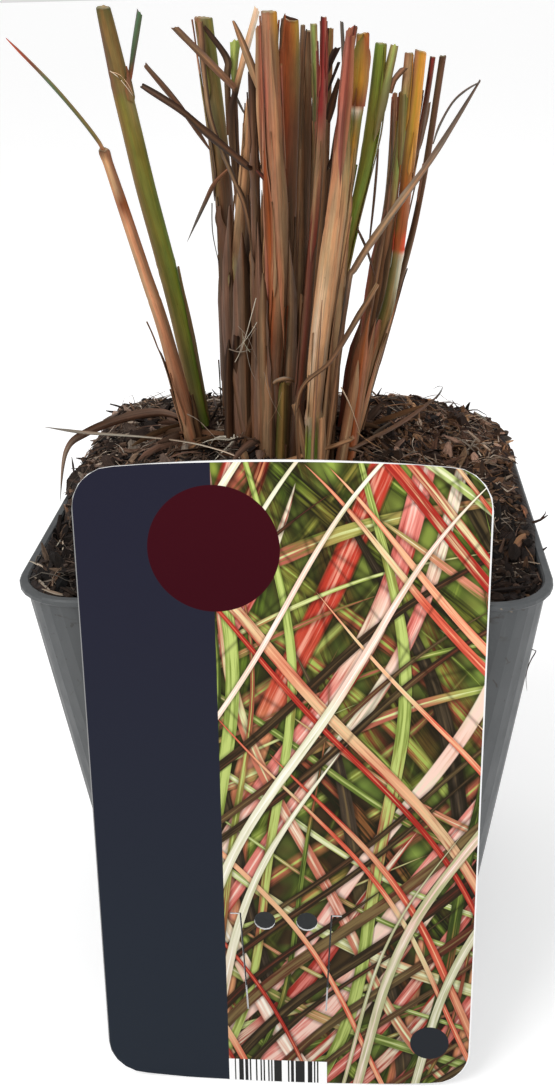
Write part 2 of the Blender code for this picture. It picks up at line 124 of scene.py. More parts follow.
def entries(text):
    """The entries of a table whose rows have fields: an indented line goes on with the entry
    above it, and | parts the fields, each a table of its own."""
    lines = text.strip().replace("\n    ", " ").split("\n")
    return [[table(field) for field in line.split("|")] for line in lines]


# ---- view

def view_directions():
    """Right, down and forward of the front view."""
    cos_pitch, sin_pitch = math.cos(EYE_PITCH), math.sin(EYE_PITCH)
    cos_yaw, sin_yaw = math.cos(EYE_YAW), math.sin(EYE_YAW)
    forward = Vector((sin_yaw * cos_pitch, cos_yaw * cos_pitch, -sin_pitch))
    level = Vector((cos_yaw, -sin_yaw, 0))
    plumb = forward.cross(level)
    right = math.cos(EYE_ROLL) * level + math.sin(EYE_ROLL) * plumb
    down = -math.sin(EYE_ROLL) * level + math.cos(EYE_ROLL) * plumb
    return right, down, forward


RIGHT, DOWN, FORWARD = view_directions()


def seen_at(pixel, depth):
    """The place that a pixel of the front view shows at a depth."""
    across = (pixel[0] - VIEW_SIZE[0] / 2) / FOCAL_PIXELS
    below = (pixel[1] - VIEW_SIZE[1] / 2) / FOCAL_PIXELS
    ray = FORWARD + across * RIGHT + below * DOWN
    return EYE + ray * ((depth * MM - EYE.y) / ray.y)


def first_hit(tree, pixel):
    """Where the line of sight through a pixel first meets a shape, and the way it faces there."""
    return tree.ray_cast(EYE, (seen_at(pixel, 0) - EYE).normalized())[:2]


def row_of(place):
    """The row of the front view in which a place is seen."""
    offset = place - EYE
    return VIEW_SIZE[1] / 2 + FOCAL_PIXELS * offset.dot(DOWN) / offset.dot(FORWARD)


def add_object(name, data):
    made = bpy.data.objects.new(name, data)
    bpy.context.scene.collection.objects.link(made)
    return made


def make_camera():
    camera = add_object("camera", bpy.data.cameras.new("camera"))
    camera.data.sensor_width = SENSOR
    camera.data.lens = FOCAL_PIXELS / VIEW_SIZE[1] * SENSOR
    camera.data.clip_start = 0.01
    axes = Matrix((RIGHT, -DOWN, -FORWARD)).transposed().to_4x4()
    camera.matrix_world = Matrix.Translation(EYE) @ axes
    bpy.context.scene.camera = camera


def add_area_light(name, place, aim, size, power):
    light = bpy.data.lights.new(name, "AREA")
    light.size = size
    light.energy = power
    facing = (Vector(aim) - Vector(place)).to_track_quat("-Z", "Y").to_matrix().to_4x4()
    add_object(name, light).matrix_world = Matrix.Translation(place) @ facing


def make_studio():
    """White floor and surroundings, a soft key from the left front and a weak fill."""
    scene = bpy.context.scene
    scene.view_settings.view_transform = "Standard"
    scene.world = bpy.data.worlds.new("studio")
    scene.world.use_nodes = True
    sky = scene.world.node_tree.nodes["Background"].inputs
    sky["Color"].default_value = (1, 1, 1, 1)
    sky["Strength"].default_value = 0.75
    add_area_light("key", place=(-0.55, -0.6, 1.0), aim=(0, 0, 0.12), size=0.5, power=6)
    add_area_light("fill", place=(0.8, -0.4, 0.7), aim=(0, 0, 0.1), size=0.9, power=1.5)
    half = 30
    mesh = bpy.data.meshes.new("floor")
    mesh.from_pydata([(-half, -half, 0), (half, -half, 0), (half, half, 0), (-half, half, 0)],
                     [], [(0, 1, 2, 3)])
    made, n = new_material("studio_floor")
    n.surface({"Base Color": (0.93, 0.93, 0.93, 1), "Roughness": 0.7,
               "Emission Color": (1, 1, 1, 1), "Emission Strength": 0.27})
    mesh.materials.append(made)
    add_object("floor", mesh)


# ---- material nodes

class Value:
    """A number, colour or direction that nodes work out. Arithmetic on it adds Math nodes."""

    def __init__(self, nodes, socket):
        self.nodes = nodes
        self.socket = socket

    def worked_by(operation):
        """An operator that adds one Math node."""
        return lambda self, other: self.nodes.math(operation, self, other)

    __add__, __sub__ = worked_by("ADD"), worked_by("SUBTRACT")
    __mul__, __truediv__ = worked_by("MULTIPLY"), worked_by("DIVIDE")
    __lt__, __gt__ = worked_by("LESS_THAN"), worked_by("GREATER_THAN")


class Nodes:
    """Short ways to add and link the nodes of one tree. A colour may be a six-digit code."""

    def __init__(self, tree):
        self.tree = tree

    def fill(self, inputs, values):
        """Sets or links inputs by their names, or in their order."""
        for key, value in values.items() if isinstance(values, dict) else enumerate(values):
            if isinstance(value, Value):
                self.tree.links.new(value.socket, inputs[key])
            else:
                inputs[key].default_value = (*linear(value), 1) if isinstance(value, str) else value

    def add(self, output, kind, values=(), **settings):
        """Adds a node and gives one of its outputs."""
        node = self.tree.nodes.new("ShaderNode" + kind)
        for key, value in settings.items():
            setattr(node, key, value)
        self.fill(node.inputs, values)
        return Value(self, node.outputs[output])

    def surface(self, values):
        self.fill(self.tree.nodes["Principled BSDF"].inputs, values)

    def math(self, operation, a, b=0.0, clamp=False):
        return self.add(0, "Math", (a, b), operation=operation, use_clamp=clamp)

    def length(self, a, b):
        return self.math("SQRT", a * a + b * b)

    def smooth(self, value, low, high, start=0.0, end=1.0):
        """A smooth step from start to end as the value goes from low to high."""
        return self.add("Result", "MapRange", (value, low, high, start, end),
                        interpolation_type="SMOOTHSTEP")

    def mix(self, factor, a, b, blend="MIX"):
        return self.add(2, "Mix", {0: factor, 6: a, 7: b}, data_type="RGBA", blend_type=blend)

    def times(self, a, b):
        return self.mix(1, a, b, "MULTIPLY")

    def grey(self, value):
        return self.add(0, "CombineColor", (value, value, value))

    def vector(self, operation, a, b, output=0):
        return self.add(output, "VectorMath", (a, b), operation=operation)

    def dot(self, vector, direction):
        return self.vector("DOT_PRODUCT", vector, direction, 1)

    def noise(self, place, scale, detail=3, roughness=0.6):
        """Noise over places, with one scale or one for each axis."""
        if isinstance(scale, tuple):
            place, scale = self.vector("MULTIPLY", place, scale), 1
        return self.add("Fac", "TexNoise", {"Vector": place, "Scale": scale, "Detail": detail,
                                            "Roughness": roughness})

    def chance(self, output, key):
        """A random value or colour for each key."""
        return self.add(output, "TexWhiteNoise", {"W": key}, noise_dimensions="1D")

    def chances(self, key):
        """Three random values for each key."""
        colour = self.chance("Color", key)
        return [self.add(k, "SeparateColor", (colour,)) for k in range(3)]

    def ramp(self, value, *stops):
        node = self.add("Color", "ValToRGB", (value,))
        points = node.socket.node.color_ramp.elements
        while len(points) < len(stops):
            points.new(0.5)
        for point, (place, code) in zip(points, stops):
            point.position = place
            point.color = (*linear(code), 1)
        return node

    def relief(self, *layers):
        """Bumps over each other, each a height, its distance in metres and its strength."""
        under = {}
        for height, distance, strength in layers:
            values = {"Height": height, "Distance": distance, "Strength": strength, **under}
            under = {"Normal": self.add("Normal", "Bump", values)}
        return under


def new_material(name):
    """A material, and the short ways to add its nodes."""
    made = bpy.data.materials.new(name)
    made.use_nodes = True
    return made, Nodes(made.node_tree)


def stem_material(name, streak_depth, speckle, gloss):
    """Plant fibre. Each point's colour is its tint, with fine streaks along the fibre and specks.
    The grain of a point is its place across, through and along the stem in millimetres."""
    made, n = new_material(name)
    tint = n.add("Color", "Attribute", attribute_name="tint")
    grain = n.add("Vector", "Attribute", attribute_name="grain")
    streaks = n.noise(grain, (2.6, 2.6, 0.05), 4, 0.65)
    fine = n.noise(grain, (9, 9, 0.3))
    blotches = n.noise(grain, (0.5, 0.5, 0.12))
    lines = n.noise(grain, (6, 6, 0.04), 2, 0.5)
    blush = n.noise(grain, (0.9, 0.9, 0.06))
    spots = n.noise(grain, (3.2, 3.2, 1.3), 4, 0.7)
    shade = n.smooth(streaks, 0.3, 0.7, 1 - streak_depth, 1 + streak_depth)
    shade *= n.smooth(fine, 0.25, 0.75, 0.9, 1.1)
    shade *= n.smooth(blotches, 0.3, 0.7, 0.86, 1.12)
    shade *= n.smooth(lines, 0.56, 0.68, 1.14, 1.14 - 1.8 * streak_depth)
    base = n.times(tint, n.grey(shade))
    cool, warm = n.times(base, (0.9, 1.0, 1.04, 1)), n.times(base, (1.1, 0.97, 0.9, 1))
    base = n.mix(n.smooth(blush, 0.38, 0.62), cool, warm)
    dark = n.times(base, (0.32, 0.25, 0.2, 1))
    n.surface({"Base Color": n.mix(n.smooth(spots, 0.62, 0.74, 0, speckle), base, dark),
               "Roughness": n.smooth(streaks, 0.2, 0.8, gloss + 0.12, gloss - 0.08),
               "Specular IOR Level": 0.18,
               **n.relief((streaks, 0.1 * MM, 0.7), (fine, 0.05 * MM, 0.6))})
    return made


def bark_material(name):
    """Chips, crumbs and fibres of the mix: each has its own tint, with a fibrous grain."""
    made, n = new_material(name)
    tint = n.add("Color", "Attribute", attribute_name="tint")
    grain = n.add("Vector", "Attribute", attribute_name="grain")
    fibres = n.noise(grain, (5, 5, 0.6), 4, 0.7)
    patches = n.noise(grain, (0.9, 0.9, 0.5))
    shade = n.smooth(fibres, 0.28, 0.72, 0.5, 1.5) * n.smooth(patches, 0.3, 0.7, 0.7, 1.25)
    n.surface({"Base Color": n.times(tint, n.grey(shade)), "Roughness": 0.85,
               "Specular IOR Level": 0.25, **n.relief((fibres, 0.25 * MM, 0.8))})
    return made


def soil_material(name):
    """The dark bed under the chips: crumbs in near-black browns."""
    made, n = new_material(name)
    place = n.add("Object", "TexCoord")
    crumbs = n.add("Distance", "TexVoronoi", {"Vector": place, "Scale": 700, "Randomness": 1.0})
    coarse = n.noise(place, 260, 5, 0.7)
    colour = n.ramp(coarse, (0.3, "120b08"), (0.5, "241711"), (0.72, "3d2a1e"))
    n.surface({"Base Color": n.mix(n.smooth(crumbs, 0.1, 0.6, 0.75, 0), colour, "0e0907"),
               "Roughness": 0.92, **n.relief((crumbs, 0.8 * MM, 1), (coarse, 1.2 * MM, 0.8))})
    return made


# Marks on the pot: pixels of the two ends, width in millimetres, colour and strength.
# The first three marks draw a thin dark arc low on the left wall.
POT_MARKS = """
63 706 67 700 .16 scratch .7, 67 700 73 692 .16 scratch .7, 73 692 82 681 .14 scratch .6
63 706 63 707 .35 speck .8, 74 716 74 717 .3 speck .7, 501 609 512 612 .3 streak .8
512 609 524 610 .4 speck .8, 537 614 537 615 .25 speck .8, 500 637 501 637 .2 speck .8
506 658 508 662 .3 speck .9, 506 664 510 662 .25 speck .9, 521 660 522 662 .2 speck .7
493 680 497 685 .25 speck .9, 496 684 497 687 .35 speck .9, 513 694 513 695 .2 speck .7
512 677 513 677 .2 speck .7
"""


def pot_material(name):
    """Recycled grey plastic: faint flow marks, fine scuffs, dried dirt under the rim, painted shade on the
    left.
    """
    made, n = new_material(name)
    place = n.add("Object", "TexCoord")
    height = n.add("Z", "SeparateXYZ", (place,))
    flow = n.noise(place, (60, 60, 14), 4)
    scuff = n.noise(place, (260, 260, 90), 5, 0.7)
    specks = n.noise(place, 520, 2, 0.5)
    colour = n.ramp(flow, (0.3, "3d4042"), (0.5, "474a4c"), (0.7, "505354"))
    colour = n.mix(n.smooth(scuff, 0.55, 0.8, 0, 0.35), colour, "6b6e6e")
    colour = n.mix(n.smooth(specks, 0.7, 0.74, 0, 0.7), colour, "2f2a25")
    smears = n.noise(place, (130, 130, 420), 4, 0.7)
    dirt = n.smooth(smears, 0.58, 0.72) * n.smooth(height, POT_HEIGHT - 16 * MM, POT_HEIGHT - 2 * MM)
    colour = n.mix(dirt * 0.6, colour, "3a2e24")
    for *ends, width, shade, strength in table(POT_MARKS):
        start, end = [first_hit(POT_WALL, pixel)[0] for pixel in (ends[:2], ends[2:])]
        way = end - start
        offset = n.vector("SUBTRACT", place, start)
        share = n.math("DIVIDE", n.dot(offset, way), way.length_squared + 1e-12, clamp=True)
        nearest = n.add(0, "VectorMath", {0: way, "Scale": share}, operation="SCALE")
        away = scuff * (width * MM) + n.vector("DISTANCE", offset, nearest, 1)
        shown = n.smooth(away, width * 0.7 * MM, width * 1.3 * MM, strength, 0)
        colour = n.mix(shown, colour, PALETTE[shade])
    # Painted shade: the wall's colour is multiplied by 0.68 at the left side, rising to 0.88 right of the
    # middle.
    painted_left_shade = n.smooth(n.dot(place, (1, 0, 0)), -50 * MM, 10 * MM, 0.68, 0.88)
    n.surface({"Base Color": n.times(colour, n.grey(painted_left_shade)),
               "Roughness": n.smooth(scuff, 0.3, 0.8, 0.42, 0.6) + dirt * 0.3,
               **n.relief((scuff, 0.05 * MM, 0.5), (flow, 0.25 * MM, 0.5))})
    return made


# ---- label print

def ribbon_layer():
    """A node group that lays one layer of tapering ribbons over a colour. The ribbons run up a
    turned and bent copy of the label's plane, one to a column, each with its own width, reach and
    colour."""
    group = bpy.data.node_groups.new("ribbon_layer", "ShaderNodeTree")
    n = Nodes(group)
    numbers = ("Across", "Up", "Turn", "Bend", "Column", "Fill", "Seed", "Reach", "Sharp")
    colours = ("Under", "Dark", "Mid", "Light", "Other")
    for kind, labels in (("NodeSocketFloat", numbers), ("NodeSocketColor", colours)):
        for label in labels:
            group.interface.new_socket(label, in_out="INPUT", socket_type=kind)
    group.interface.new_socket("Colour", in_out="OUTPUT", socket_type="NodeSocketColor")
    given = group.nodes.new("NodeGroupInput").outputs
    across, up, turn, bend, column, fill, seed, reach, sharp = (Value(n, given[x]) for x in numbers)
    under, dark, mid, light, other = (Value(n, given[x]) for x in colours)

    cosine, sine = n.math("COSINE", turn), n.math("SINE", turn)
    x = across * cosine - up * sine
    y = across * sine + up * cosine
    sway = n.math("SINE", y * 0.07 + seed) * 1.6
    bent = x + y * y * bend + sway
    scaled = bent / column
    key = seed * 17.31 + n.math("FLOOR", scaled)
    reached, broad, shifted = n.chances(key)
    chosen, bright, spare = n.chances(key + 101.7)

    tip = reached * (reach * 1.1) - 20.0 + reach * 0.15
    taper = n.math("POWER", n.math("DIVIDE", tip - y, 60.0, clamp=True), 0.6)
    half = (broad * 0.28 + 0.12) * taper
    offset = n.math("ABSOLUTE", n.math("FRACT", scaled) - 0.5 - (shifted * 0.3 - 0.15))
    gap = half - offset
    there = chosen < fill
    shown = n.math("MULTIPLY", gap, sharp, clamp=True) * there
    shaded = n.mix(n.smooth(gap, -0.22, 0.05, 0, 0.55) * there, under, "17130a")

    edge = n.math("DIVIDE", offset, n.math("MAXIMUM", half, 0.01), clamp=True)
    stripe = n.noise(n.add(0, "CombineXYZ", (bent, y * 0.05, key)), 1.6, 2)
    rib = n.smooth(edge, 0.0, 0.22, 0.3, 0.0)
    tone = edge * -0.25 + n.math("ADD", bright * 0.8 + rib, stripe * 1.5 - 0.62, clamp=True)
    turned = n.smooth(n.noise(n.add(0, "CombineXYZ", (key, y * 0.022, 5.0)), 1, 1, 0.55), 0.44, 0.62)
    colour = n.mix(n.smooth(tone, 0.0, 0.5), dark, n.mix(turned, mid, other))
    colour = n.mix(n.smooth(tone, 0.5, 0.95), colour, light)
    n.fill(group.nodes.new("NodeGroupOutput").inputs, (n.mix(shown, shaded, colour),))
    return group


# Layers of the label's picture, back to front: turn in degrees, bend, column width, share of the
# columns filled, reach, sharpness, and dark, middle, light and second middle colours.
RIBBONS = """
20 .001 13 .8 160 3 2a3312 5f7826 98a845 4a3a1a
-30 -.0012 11 .7 150 3 241a0e 54421e 8a9440 7c3424
50 .0014 9 .5 150 5 384416 7d8f35 b2bc64 b8624c
-42 .0012 6.4 .55 140 9 201f10 5a6a24 98a850 8a4430
12 -.0016 7 .45 150 12 5c130f b03828 d8907a d09468
-14 .0014 5.8 .4 150 20 221c12 40352a 665438 4c4028
66 -.0012 4.8 .4 120 22 566628 98a650 cad090 a8584a
34 .0018 6.4 .4 140 28 9a2c22 d47c70 ecc8b8 dcd4b8
-58 -.0014 4.8 .4 130 28 5c6c2c a2b064 d8dab0 c87c64
-22 -.002 6.2 .3 150 30 b86a54 e4bca8 f4ecdc ced29c
8 .0022 3.8 .35 140 34 36421a 76863a b2c06c 944838
46 -.0011 3.4 .3 130 36 2c2216 54442c 786440 5a2c20
-36 .0016 3 .3 130 36 9a2820 d06048 e8b088 d8cc9c
24 -.0016 3.2 .25 130 36 b0b084 e0dcc2 f6f2e4 e8c4b4
"""


def label_material(name):
    """The label's printed face, its white cut edge and its plain back. The print has a dark band
    on the left, a plain disc over it, a picture of sweeping ribbons, a small plain disc and a
    patch of bars. Places on the label are millimetres across from its middle and up its foot."""
    made, n = new_material(name)
    lean, rise = math.sin(LABEL_LEAN), math.cos(LABEL_LEAN)
    foot_y = -RIM_HALF - (LABEL_THICKNESS / 2 + LABEL_GAP) / rise - POT_HEIGHT * math.tan(LABEL_LEAN)
    foot = Vector((LABEL_MIDDLE, foot_y, LABEL_THICKNESS / 2 * lean))
    place = n.vector("SUBTRACT", n.add("Object", "TexCoord"), foot)
    across = n.dot(place, (1, 0, 0)) * 1000
    up = n.dot(place, (0, lean, rise)) * 1000
    flat = n.add(0, "CombineXYZ", (across, up))

    picture = n.ramp(n.noise(flat, 0.055, 2, 0.5),
                     (0.32, "221c10"), (0.45, "463620"), (0.55, "667a34"), (0.66, "8a9e48"))
    picture = n.mix(n.smooth(up, 85, 140) * 0.7, picture, "8ea044")
    layer = ribbon_layer()
    for k, row in enumerate(RIBBONS.strip().split("\n")):
        *numbers, dark, mid, light, other = row.split()
        turn, bend, column, fill, reach, sharp = map(float, numbers)
        picture = n.add("Colour", "Group", {
            "Under": picture, "Across": across, "Up": up - 60.0, "Turn": math.radians(turn),
            "Bend": bend, "Column": column, "Fill": fill, "Seed": 3.7 + 2.3 * k, "Reach": reach,
            "Sharp": sharp, "Dark": dark, "Mid": mid, "Light": light, "Other": other},
            node_tree=layer)
    picture = n.times(picture, n.grey(n.smooth(up, 5, 140, 0.8, 1.12)))

    def soft_step(value):
        """0 below 0 and 1 above a twelfth of a millimetre."""
        return n.math("MULTIPLY", value, 12, clamp=True)

    def disc(u, v, radius):
        """1 inside a disc."""
        return soft_step(n.math("SUBTRACT", radius, n.length(across - u, up - v)))

    seam = -13.3
    band = n.mix(n.smooth(up, 10, 140), "20262f", "20202f")
    colour = n.mix(soft_step(across - seam), band, picture)
    colour = n.mix(disc(-13.1, 127.3, 13.0), colour, n.mix(n.smooth(up, 114, 140), "34000c", "38030f"))
    colour = n.mix(disc(31.5, 12.3, 4.3), colour, "23262b")
    dark_bars = n.chance("Value", n.math("FLOOR", across * 2.9)) > 0.46
    bars = dark_bars * ((across > -12.0) * (across < 7.6))
    patch = (up < 6.2) * ((across > seam) * (across < 8.8))
    colour = n.mix(patch, colour, n.mix(bars, (0.86, 0.86, 0.86, 1), (0.02, 0.02, 0.02, 1)))

    share = across / LABEL_HALF_WIDTH
    side = n.math("ABSOLUTE", across) - (LABEL_HALF_WIDTH - LABEL_CORNER)
    end = n.math("ABSOLUTE", up - LABEL_LENGTH / 2) + share * share * LABEL_END_BOW
    end -= LABEL_LENGTH / 2 - LABEL_CORNER
    corner = n.length(n.math("MAXIMUM", side, 0), n.math("MAXIMUM", end, 0))
    inner = n.math("MINIMUM", n.math("MAXIMUM", side, end), 0)
    from_edge = n.math("SUBTRACT", LABEL_CORNER, corner + inner)
    margin = n.math("MAXIMUM", n.smooth(across, -40, -10, 0.2, 0.32), n.smooth(up, 138, 143, 0, 0.36))
    white = n.math("MAXIMUM", n.smooth(across, -40, -10, 0.25, 0.8), n.smooth(up, 134, 142, 0, 0.85))
    colour = n.mix(from_edge < margin, colour, n.grey(white))

    front = n.dot(n.add("Normal", "NewGeometry"), (0, -rise, lean)) > 0.7
    n.surface({"Base Color": n.mix(front, (0.8, 0.8, 0.8, 1), colour), "Roughness": 0.36,
               "Specular IOR Level": 0.06, **n.relief((n.noise(flat, 0.03, 2, 0.5), 1.2 * MM, 0.25))})
    return made


# ---- meshes

def add_piece(name, mesh, slot):
    """Makes an object that rides with the part's one body."""
    made = add_object(name, mesh)
    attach(made, "root")
    return made


class Piece:
    """Collects the points, each a (place, tint, grain), and the faces of one object."""

    def __init__(self):
        self.points = []
        self.faces = []

    def loft(self, rings):
        """Joins rings of points, and closes both ends with fans."""
        first, count = len(self.points), len(rings[0])
        last = first + (len(rings) - 1) * count
        for ring in rings:
            self.points.extend(ring)
        for low in range(first, last, count):
            for i in range(count):
                j = (i + 1) % count
                self.faces.append((low + i, low + j, low + count + j, low + count + i))
        self.fan(first, count, True)
        self.fan(last, count, False)

    def fan(self, first, count, backwards):
        """Closes a ring round its middle."""
        places, tints, grains = zip(*self.points[first:first + count])
        middle = len(self.points)
        self.points.append((sum(places, Vector()) / count, tints[0], sum(grains, Vector()) / count))
        for i in range(count):
            a, b = first + i, first + (i + 1) % count
            self.faces.append((b, a, middle) if backwards else (a, b, middle))

    def finish(self, name, material, slot, smooth_angle=50):
        places, tints, grains = zip(*self.points)
        mesh = bpy.data.meshes.new(name)
        mesh.from_pydata(places, [], self.faces)
        tint = mesh.attributes.new("tint", "FLOAT_COLOR", "POINT")
        tint.data.foreach_set("color", [c for t in tints for c in (*t, 1.0)])
        grain = mesh.attributes.new("grain", "FLOAT_VECTOR", "POINT")
        grain.data.foreach_set("vector", [c for g in grains for c in g])
        mesh.materials.append(material)
        mesh.shade_smooth()
        mesh.set_sharp_from_angle(angle=math.radians(smooth_angle))
        return add_piece(name, mesh, slot)


def smooth_path(points):
    """Places about PATH_STEP apart on a smooth curve through (place, width) pairs."""
    path = []
    last = len(points) - 1
    for k in range(last):
        a, b, c, d = (points[min(max(k + i, 0), last)][0] for i in (-1, 0, 1, 2))
        width, wider = points[k][1], points[k + 1][1] - points[k][1]
        steps = max(1, round((c - b).length / PATH_STEP))
        for t in (step / steps for step in range(steps)):
            place = 0.5 * (2 * b + (c - a) * t + (2 * a - 5 * b + 4 * c - d) * t ** 2
                           + (3 * b - a - 3 * c + d) * t ** 3)
            path.append((place, width + wider * t))
    return path + [points[last]]


def heading(places, k):
    """The direction of a path at its step k."""
    return (places[min(k + 1, len(places) - 1)] - places[max(k - 1, 0)]).normalized()


def spread(values, shares):
    """One value for each share: as they are, or even between the first and the last of two."""
    return values if len(values) > 2 else [values[0] + (values[-1] - values[0]) * s for s in shares]


class Stem:
    """A stem's smooth middle line, with its width, directions and row of the view at each step."""

    def __init__(self, pixels, depths, widths, planted=True):
        span = pixels[0][1] - pixels[-1][1]
        shares = [(pixels[0][1] - p[1]) / span if span else k / (len(pixels) - 1)
                  for k, p in enumerate(pixels)]
        points = [(seen_at(pixel, depth), width * MM) for pixel, depth, width
                  in zip(pixels, spread(depths, shares), spread(widths, shares))]
        if planted:
            foot = points[0][0]
            down = (foot - points[1][0]).normalized()
            ground = ground_at(foot.x, foot.y)[0].z - PLANTING_DEPTH
            points[0] = (foot + down * ((foot.z - ground) / -down.z), points[0][1])
        self.places, self.widths = zip(*smooth_path(points))
        self.rows = [row_of(place) for place in self.places]
        self.lengths = [0.0]
        for a, b in zip(self.places[:-1], self.places[1:]):
            self.lengths.append(self.lengths[-1] + (b - a).length)
        self.along = [heading(self.places, k) for k in range(len(self.places))]
        self.left = [a.cross(Vector((0, 1, 0))).normalized() for a in self.along]
        self.front = [a.cross(f) for a, f in zip(self.along, self.left)]

    def index_at_row(self, row):
        """The step whose place is seen nearest to a row."""
        return min(range(len(self.rows)), key=lambda k: abs(self.rows[k] - row))


def full_stations(rows):
    """Stations of (row, left, middle, right), from rows that may leave out the middle or the
    right colour where it is the left one."""
    return [(row, *colours, colours[0], colours[0])[:4] for row, *colours in rows]


def tint_at(stations, row, across):
    """The colour at a row between stations, and across from -1 on the left to 1 on the right."""
    low = max((s for s in stations if s[0] <= row), default=stations[0])
    high = min((s for s in stations if s[0] > row), default=stations[-1])
    t = (row - low[0]) / (high[0] - low[0]) if high[0] > low[0] else 0
    t = min(1, max(0, t))
    middle, side = (COLOUR[low[k]].lerp(COLOUR[high[k]], t) for k in (2, 1 if across < 0 else 3))
    return middle.lerp(side, min(1, abs(across) * 1.2))


def swing(value, low, high):
    """A smooth step from 0 to 1 as a value goes from low to high."""
    t = min(1, max(0, (value - low) / (high - low)))
    return t * t * (3 - 2 * t)


def waver(*place):
    """Smooth noise from -1 to 1."""
    return noise.noise(Vector(place))


# ---- soil bed

def inside_wall(place):
    """How far a place is inside the pot's inner wall, negative outside it."""
    beyond = [max(abs(side) - (INNER_HALF - INNER_CORNER), 0) for side in place[:2]]
    return INNER_CORNER - math.hypot(*beyond)


def settled(place):
    """Where a point near the soil solid's top goes in the bed, which is filled up along the
    front, has fallen in along the back and at the back corners, and is lumpy."""
    x, y, z = place / MM
    rim = POT_HEIGHT / MM
    corners = 2.0 * swing(x, 22, 45) + 2.8 * swing(x, 44, 51) + 3.6 * swing(-x, 48, 52.5)
    sink = min(swing(y, 5, 38) * (1.2 + corners), 0.75 * max(0, z - rim - 0.2))
    fill = (6.2 + 1.3 * swing(-x, 34, 50)) * (1 - swing(z, rim - 8, rim - 1))
    lumps = 1.2 * noise.noise(place / (5.5 * MM)) + 0.6 * noise.noise(place / (2.2 * MM))
    lumps *= swing(inside_wall(place) / MM, 0.3, 3)
    wider = 1 + fill * INNER_TAPER / (INNER_HALF / MM)
    return Vector((x * wider, y * wider, z - sink + fill + lumps)) * MM


def make_soil_bed():
    """The bed under the chips, made finer and lumpier than the soil solid that it stands for."""
    shape = bmesh.new()
    shape.from_mesh(frame["nodes"]["soil"].data)
    bmesh.ops.remove_doubles(shape, verts=shape.verts, dist=0.001 * MM)
    top = POT_HEIGHT - 12 * MM
    edges = [e for e in shape.edges if min(v.co.z for v in e.verts) > top]
    bmesh.ops.subdivide_edges(shape, edges=edges, cuts=3, use_grid_fill=True)
    for vertex in shape.verts:
        if vertex.co.z > top:
            vertex.co = settled(vertex.co)
    mesh = bpy.data.meshes.new("soil_bed")
    shape.to_mesh(mesh)
    tree = BVHTree.FromBMesh(shape)
    shape.free()
    mesh.materials.append(soil_material("damp_soil"))
    mesh.shade_smooth()
    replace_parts(add_piece("soil_bed", mesh, "potting_soil"), "soil")
    return tree


GROUND = make_soil_bed()
POT_SHAPE = frame["nodes"]["pot"].data
POT_WALL = BVHTree.FromPolygons([v.co for v in POT_SHAPE.vertices],
                                [list(p.vertices) for p in POT_SHAPE.polygons])


def ground_at(x, y):
    """The place and the outward direction of the soil's top over (x, y), or None off it."""
    place, normal = GROUND.ray_cast(Vector((x, y, HIGH_ABOVE)), Vector((0, 0, -1)))[:2]
    return None if place is None else (place, normal)


# ---- canes

def add_cane(piece, stem, tints, joints, seed):
    """A round stem with slight ribs, swollen joints with a sheath scar, and a rounded cut top."""
    rings = []
    for k, row in enumerate(stem.rows):
        swell = 1.0
        for joint, amount in joints:
            swell += amount * math.exp(-((row - joint) / 7) ** 2)
            if -3.0 < row - joint < 0:
                swell -= 0.06
        length = stem.lengths[k] / MM
        wobble = 0.12 * MM * noise.noise_vector(Vector((seed, length * 0.06, 0)))
        ring = []
        for i in range(CANE_SIDES):
            a = 2 * math.pi * i / CANE_SIDES
            c, s = math.cos(a), math.sin(a)
            radius = stem.widths[k] / 2 * swell * (1 + 0.05 * waver(2.2 * c, 2.2 * s, length * 0.03 + seed))
            place = stem.places[k] + wobble + stem.left[k] * radius * c + stem.front[k] * radius * s
            grain = Vector((radius * c / MM + seed, radius * s / MM, length + 7 * seed))
            ring.append((place, tint_at(tints, row, -c), grain))
        rings.append(ring)
    top = rings[-1]
    middle = sum((place for place, tint, grain in top), Vector()) / CANE_SIDES
    up = stem.along[-1]
    slant = stem.left[-1] * 0.2 * math.sin(seed) - stem.front[-1] * 0.12
    for i, (place, tint, grain) in enumerate(top):
        ragged = 0.3 * MM * noise.noise(place / (0.7 * MM))
        top[i] = (place + up * ((place - middle).dot(slant) + ragged), tint * 0.8, grain)
    for share, rise, pale in ((0.93, 0.16, 0.1), (0.8, 0.2, 0.3), (0.55, 0.05, 0.4), (0.2, -0.1, 0.2)):
        rings.append([(middle + (place - middle) * share + up * rise * MM,
                       tint.lerp(COLOUR["pith"], pale) * 0.9, grain) for place, tint, grain in top])
    piece.loft(rings)


